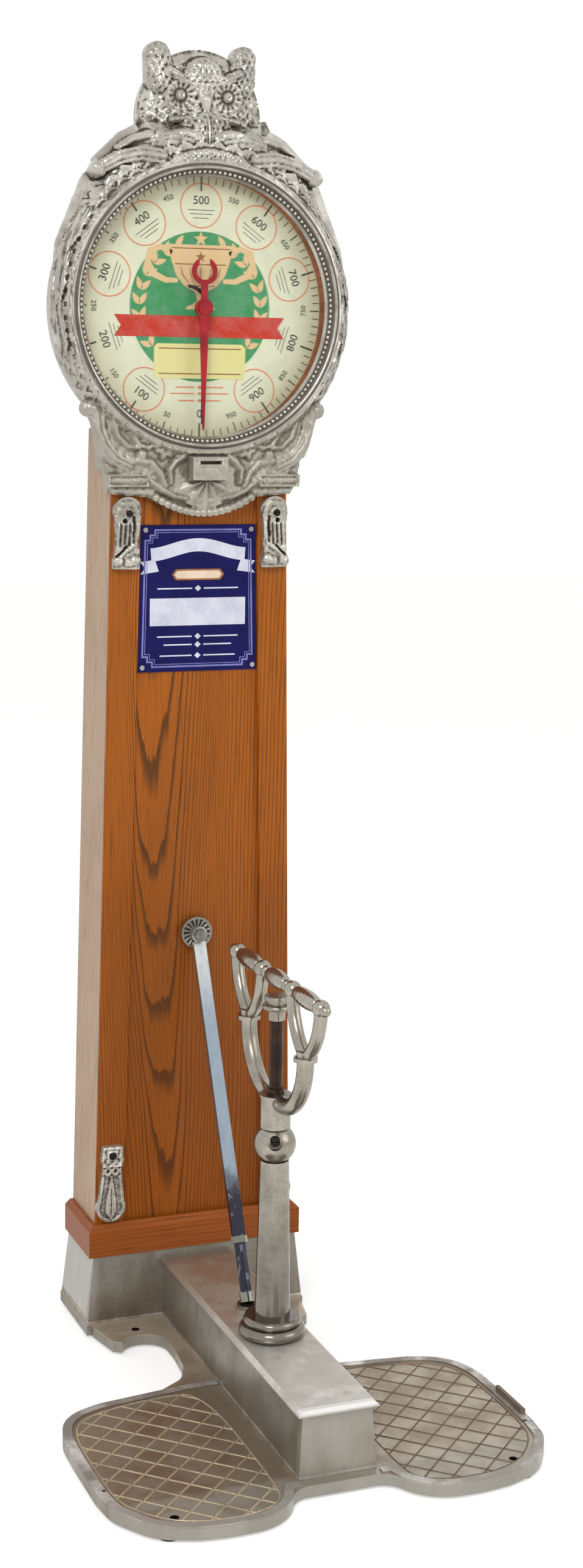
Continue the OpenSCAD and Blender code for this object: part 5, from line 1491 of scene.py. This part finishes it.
def print_white(bm):
    """White of the enamelled plate: waved ribbon with two tails, block and broken rules."""
    ribbon_z = SIGN_TOP - 36
    wave = [(x, ribbon_z + 7 * math.cos(x / 76 * math.pi)) for x in np.linspace(-72, 72, 25)]
    plate(bm, strip(wave, [9.5] * len(wave)), SIGN_Y, PANEL_T)
    for side in (-1, 1):
        tail = [(66, -14), (88, -17), (81, -26), (88, -35), (60, -31)]
        plate(bm, [(side * x, ribbon_z + z) for x, z in tail], SIGN_Y, TAIL_T)
    block_z = SIGN_TOP - 126
    half = half_w(block_z) - SIGN_GAP - 17
    plate(bm, rectangle(-half, half, block_z - 20, block_z + 20), SIGN_Y, RULE_T)
    for row, reach in ((-92, 62), (-162, 62), (-174, 52), (-190, 58)):
        broken_rule(bm, SIGN_TOP + row, 9, reach, 1, (5, 4.5), SIGN_Y, RULE_T)


# Half width, half height and cut of the ends of the small panel and of its gold edge
PANEL_Z = SIGN_TOP - 72
PANEL_SIZE = (36.5, 5.6, 4.5)
PANEL_EDGE_SIZE = (40, 8, 6)


def print_gold(bm):
    """Gold edge of the small panel."""
    band(bm, lozenge(PANEL_Z, *PANEL_EDGE_SIZE), lozenge(PANEL_Z, *PANEL_SIZE), SIGN_Y, GOLD_T)


def print_panel(bm):
    """Bare small panel."""
    plate(bm, lozenge(PANEL_Z, *PANEL_SIZE), SIGN_Y, PANEL_T)


def add_print(name, draw, finish):
    """Piece that a drawing function fills, all of one colour."""
    bm = bmesh.new()
    draw(bm)
    add_piece(name, bm, finish, 20)


# Treads


def rounded(points, rounds=3):
    """Closed outline with its corners cut off again and again."""
    for _ in range(rounds):
        cut = []
        for (ax, ay), (bx, by) in zip(points, points[1:] + points[:1]):
            cut += [(ax * (1 - t) + bx * t, ay * (1 - t) + by * t) for t in (0.25, 0.75)]
        points = cut
    return points


def tread_outline():
    """Inside of the right foot plate's rim, in X and Y."""
    side, toe, p = BASE_HW, PLATE_FRONT, POST_Y
    inset = RIM_W + 5
    inner = CHANNEL_HW + 36
    return [
        (inner, p - 250), (inner, p + 46), (side - 160, p + 50), (side - 82, p + 54 - inset),
        (side - 18 - inset, p + 32 - inset), (side - 2 - inset, p - 30), (side - inset, p - 90),
        (side - inset, p - 188), (side - 6 - inset, p - 232), (side - 50 - inset * 0.6, p - 300 + inset),
        (side - 101, toe + 5 + inset), (side - 137, toe + inset), (side - 178, toe + 2 + inset),
        (side - 216, toe + 18 + inset),
    ]


def crossings(points, angle, offset):
    """Stretches of a straight line that lie inside an outline, as pairs of points."""
    c, s = math.cos(angle), math.sin(angle)
    hits = []
    for (ax, ay), (bx, by) in zip(points, points[1:] + points[:1]):
        da = -s * ax + c * ay - offset
        db = -s * bx + c * by - offset
        if (da > 0) != (db > 0):
            t = da / (da - db)
            hits.append(c * (ax + t * (bx - ax)) + s * (ay + t * (by - ay)))
    spots = [(c * along - s * offset, s * along + c * offset) for along in sorted(hits)]
    return zip(spots[::2], spots[1::2])


def rib(bm, start, end, width, rise, z):
    """Low rib with sloping sides along a line in X and Y."""
    sx, sy = start
    ex, ey = end
    length = math.hypot(ex - sx, ey - sy)
    if length < 2 * width:
        return
    nx, ny = -(ey - sy) / length, (ex - sx) / length
    corners = [(start, -width / 2), (start, width / 2), (end, width / 2), (end, -width / 2)]
    face = bm.faces.new([bm.verts.new((x + nx * aside, y + ny * aside, z)) for (x, y), aside in corners])
    grown = bmesh.ops.extrude_face_region(bm, geom=[face])["geom"]
    tops = [v for v in grown if isinstance(v, bmesh.types.BMVert)]
    bmesh.ops.translate(bm, vec=(0, 0, rise), verts=tops)
    for vert in tops:
        aside = (vert.co.x - sx) * nx + (vert.co.y - sy) * ny
        vert.co.x -= nx * aside * 0.4
        vert.co.y -= ny * aside * 0.4


# Operators


class PieceOperator:
    """Common settings of the operators."""

    bl_options = {"REGISTER"}


class TESTER_OT_finishes(PieceOperator, bpy.types.Operator):
    """Make all finishes and give every carried-over node its own"""

    bl_idname = "tester.finishes"
    bl_label = "Finishes"

    def execute(self, context):
        make_materials()
        finish_nodes()
        return {"FINISHED"}


class TESTER_OT_head_relief(PieceOperator, bpy.types.Operator):
    """Cast head with the owl, the wings round the dial and the crest below"""

    bl_idname = "tester.head_relief"
    bl_label = "Head casting"

    def execute(self, context):
        cell = settings().casting.cell / MM
        bm = relief(((-232, -300), (232, 366)), cell, head_edge, head_height, head_back)
        add_cheeks(bm)
        add_ear_backs(bm)
        bmesh.ops.translate(bm, vec=(0, 0, DIAL_Z), verts=bm.verts)
        add_casting("head_relief", bm, "head_casting")
        return {"FINISHED"}


class TESTER_OT_stile_ornaments(PieceOperator, bpy.types.Operator):
    """Cast corbels at the top of the stiles and drop ornaments at their foot"""

    bl_idname = "tester.stile_ornaments"
    bl_label = "Corbels and drops"

    def execute(self, context):
        ornaments = (
            ("corbel_relief", "corbel", ((-22, -106), (22, 2)), corbel_edge, corbel_height, CORBEL_TOP),
            ("drop_relief", "drop_ornament", ((-25, -25), (25, 99)), drop_edge, drop_height, DROP_Z),
        )
        for place, side in (("left", -1), ("right", 1)):
            for name, node, bounds, edge, height, z in ornaments:
                bm = relief(bounds, ORNAMENT_CELL, edge, height, flat_back)
                on_stile(bm, z, side)
                add_casting(f"{name}_{place}", bm, f"{node}_{place}")
        return {"FINISHED"}


class TESTER_OT_rosette(PieceOperator, bpy.types.Operator):
    """Fluted rosette under the upper end of the brace"""

    bl_idname = "tester.rosette"
    bl_label = "Rosette"

    def execute(self, context):
        bm = relief(((-25, -25), (25, 25)), ROSETTE_CELL, rosette_edge, rosette_height, flat_back)
        bmesh.ops.translate(bm, vec=(0, 0, ROSETTE_Z), verts=bm.verts)
        # Dark colour in the flutes with a deeper share: old dirt and painted shade
        finish = casting_finish("rosette_metal", paint(160, 155, 144), paint(62, 56, 48), 1.3)
        add_casting("rosette_relief", bm, "brace_rosette", finish)
        return {"FINISHED"}


# Distance of each row of beads from the dial's centre, its place in Y, the beads' radius and their number
BEAD_ROWS = ((186.6, 239.4, 3.0, 156), (195.2, 232.6, 1.6, 300))


class TESTER_OT_bezel_beads(PieceOperator, bpy.types.Operator):
    """Row of beads on the bezel's slope and a fine rope at its inner edge"""

    bl_idname = "tester.bezel_beads"
    bl_label = "Bezel beads"

    def execute(self, context):
        bm = bmesh.new()
        for reach, y, radius, count in BEAD_ROWS:
            for i in range(count):
                angle = 2 * math.pi * i / count
                place = Matrix.Translation((reach * math.sin(angle), y, DIAL_Z + reach * math.cos(angle)))
                bmesh.ops.create_uvsphere(bm, u_segments=8, v_segments=5, radius=radius, matrix=place)
        finish = nickel_finish("bead_metal", paint(206, 203, 195), paint(150, 144, 134), 0.2, 0.4)
        add_piece("bezel_beads", bm, finish, 80)
        return {"FINISHED"}


class TESTER_OT_dial_print(PieceOperator, bpy.types.Operator):
    """Print on the dial: scale, numbers, rings, disc, cup, bare ribbon and plaque"""

    bl_idname = "tester.dial_print"
    bl_label = "Dial print"

    def execute(self, context):
        dial = settings().dial
        layers = (
            ("dial_marks", print_marks, "dial_ink", dial.ink),
            ("dial_rings", print_rings, "ring_ink", dial.ring),
            ("dial_disc", print_disc, "disc_ink", dial.disc),
            ("dial_cup", print_cup, "cup_ink", dial.motif),
            ("dial_cup_lines", print_cup_lines, "cup_line_ink", dial.shade),
            ("dial_ribbon", print_ribbon, "ribbon_ink", dial.ribbon),
            ("dial_plaque", print_plaque, "plaque_ink", dial.plaque),
        )
        for name, draw, ink, colour in layers:
            add_print(name, draw, print_finish(ink, colour))
        return {"FINISHED"}


class TESTER_OT_sign_print(PieceOperator, bpy.types.Operator):
    """Bare enamelled plate: stepped border, waved ribbon, small panel, white block and rules"""

    bl_idname = "tester.sign_print"
    bl_label = "Enamelled plate"

    def execute(self, context):
        sign = settings().sign
        layers = (
            ("sign_border", print_border, "border_enamel", sign.border, paint(96, 98, 160)),
            ("sign_white", print_white, "white_enamel", sign.white, paint(190, 192, 214)),
            ("sign_gold", print_gold, "gold_enamel", sign.gold, paint(140, 92, 50)),
            ("sign_panel", print_panel, "cream_enamel", sign.cream, paint(224, 196, 170)),
        )
        for name, draw, enamel, light, dark in layers:
            add_print(name, draw, enamel_finish(enamel, light, dark))
        return {"FINISHED"}


class TESTER_OT_treads(PieceOperator, bpy.types.Operator):
    """Crossed ribs on both foot plates"""

    bl_idname = "tester.treads"
    bl_label = "Treads"

    def execute(self, context):
        tread = settings().tread
        pitch, width, rise = tread.pitch / MM, tread.width / MM, tread.rise / MM
        outline = rounded(tread_outline())
        sides = (
            # Left ribs: wear and a painted highlight; right ribs: painted shade
            ("left", -1, tread.light, paint(160, 146, 122)),
            ("right", 1, tread.dark, paint(138, 120, 96)),
        )
        for name, side, colour, other in sides:
            bm = bmesh.new()
            for angle in (math.radians(44), math.radians(-44)):
                for k in range(-30, 31):
                    for start, end in crossings(outline, angle, k * pitch):
                        rib(bm, start, end, width, rise, PLATE_TOP)
            for start, end in zip(outline, outline[1:] + outline[:1]):
                rib(bm, start, end, width * 0.8, rise * 0.7, PLATE_TOP)
            if side < 0:
                turn_over(bm)
            finish = paint_finish(f"tread_{name}", colour, other, scale=30.0, metallic=0.5)
            add_piece(f"tread_{name}", bm, finish, 30)
        return {"FINISHED"}


# Place of the camera in metres, and how far it looks to the right, looks down and leans, in degrees
CAMERA_PLACE = (-1.0989, -2.8831, 1.4379)
CAMERA_TURN = (21.608, 10.204, -0.961)
# Place that both lamps point at, in metres
LAMP_AIM = (0, 0.1, 0.9)


class TESTER_OT_stage(PieceOperator, bpy.types.Operator):
    """Pale floor, soft light and the camera"""

    bl_idname = "tester.stage"
    bl_label = "Stage"

    def execute(self, context):
        stage = settings().stage
        self.make_world(stage)
        self.make_floor(stage)
        self.make_lights(stage)
        self.make_camera(stage)
        return {"FINISHED"}

    def make_world(self, stage):
        world = bpy.data.worlds.new("soft_room")
        world.use_nodes = True
        bpy.context.scene.world = world
        build = Tree(world.node_tree)
        ground = world.node_tree.nodes["Background"]
        build.feed(ground.inputs["Color"], (1, 1, 1))
        build.feed(ground.inputs["Strength"], build.spread(build.seen(), 0, 1, stage.world_level, 1.0))

    def make_floor(self, stage):
        bm = bmesh.new()
        bmesh.ops.create_grid(bm, x_segments=2, y_segments=2, size=12)
        mesh = bpy.data.meshes.new("floor")
        bm.to_mesh(mesh)
        bm.free()
        floor = bpy.data.objects.new("floor", mesh)
        bpy.context.scene.collection.objects.link(floor)
        build = Finish("floor", Base_Color=stage.floor, Roughness=0.7, Specular_IOR_Level=0.1)
        build.feed(build.sockets["Emission Color"], (1, 1, 1))
        build.feed(build.sockets["Emission Strength"], build.times(build.seen(), stage.floor_glow))
        mesh.materials.append(build.material)

    def make_lights(self, stage):
        lamps = (
            ("key", (-1.6, -2.6, 3.2), 1.6, stage.key_power),
            ("fill", (2.2, -1.8, 2.0), 2.0, stage.key_power * 0.3),
        )
        for name, place, size, power in lamps:
            data = bpy.data.lights.new(name, "AREA")
            data.shape = "DISK"
            data.size = size
            data.energy = power
            lamp = bpy.data.objects.new(name, data)
            lamp.location = place
            toward = Vector(LAMP_AIM) - Vector(place)
            lamp.rotation_euler = toward.to_track_quat("-Z", "Y").to_euler()
            bpy.context.scene.collection.objects.link(lamp)

    def make_camera(self, stage):
        data = bpy.data.cameras.new("camera")
        data.lens = stage.lens
        data.sensor_width = 36
        camera = bpy.data.objects.new("camera", data)
        bpy.context.scene.collection.objects.link(camera)
        yaw, pitch, roll = (math.radians(angle) for angle in CAMERA_TURN)
        ahead = Vector((math.sin(yaw) * math.cos(pitch), math.cos(yaw) * math.cos(pitch), -math.sin(pitch)))
        level = Vector((math.cos(yaw), -math.sin(yaw), 0))
        below = ahead.cross(level)
        right = math.cos(roll) * level + math.sin(roll) * below
        down = math.cos(roll) * below - math.sin(roll) * level
        columns = Matrix((right, -down, -ahead)).transposed().to_4x4()
        camera.matrix_world = Matrix.Translation(CAMERA_PLACE) @ columns
        bpy.context.scene.camera = camera


OPERATORS = [
    TESTER_OT_finishes, TESTER_OT_head_relief, TESTER_OT_stile_ornaments, TESTER_OT_rosette,
    TESTER_OT_bezel_beads, TESTER_OT_dial_print, TESTER_OT_sign_print, TESTER_OT_treads, TESTER_OT_stage,
]


class TESTER_PT_panel(bpy.types.Panel):
    """Buttons for each step of dressing the strength tester"""

    bl_idname = "TESTER_PT_panel"
    bl_label = "Strength tester"
    bl_space_type = "VIEW_3D"
    bl_region_type = "UI"
    bl_category = "Strength tester"

    def draw(self, context):
        for operator in OPERATORS:
            self.layout.operator(operator.bl_idname, text=operator.bl_label)


CLASSES = [
    CastingSettings, MetalSettings, WoodSettings, DialSettings, SignSettings, TreadSettings, StageSettings,
    TesterSettings, *OPERATORS, TESTER_PT_panel,
]


def register():
    """Makes the settings, the operators and the panel known to Blender."""
    for kind in CLASSES:
        bpy.utils.register_class(kind)
    bpy.types.Scene.strength_tester = bpy.props.PointerProperty(type=TesterSettings)


def unregister():
    """Takes them out again."""
    del bpy.types.Scene.strength_tester
    for kind in reversed(CLASSES):
        bpy.utils.unregister_class(kind)


def main():
    """Runs every step."""
    register()
    bpy.context.scene.view_settings.view_transform = "Standard"
    for operator in OPERATORS:
        group, name = operator.bl_idname.split(".")
        getattr(getattr(bpy.ops, group), name)()


if __name__ == "__main__":
    main()
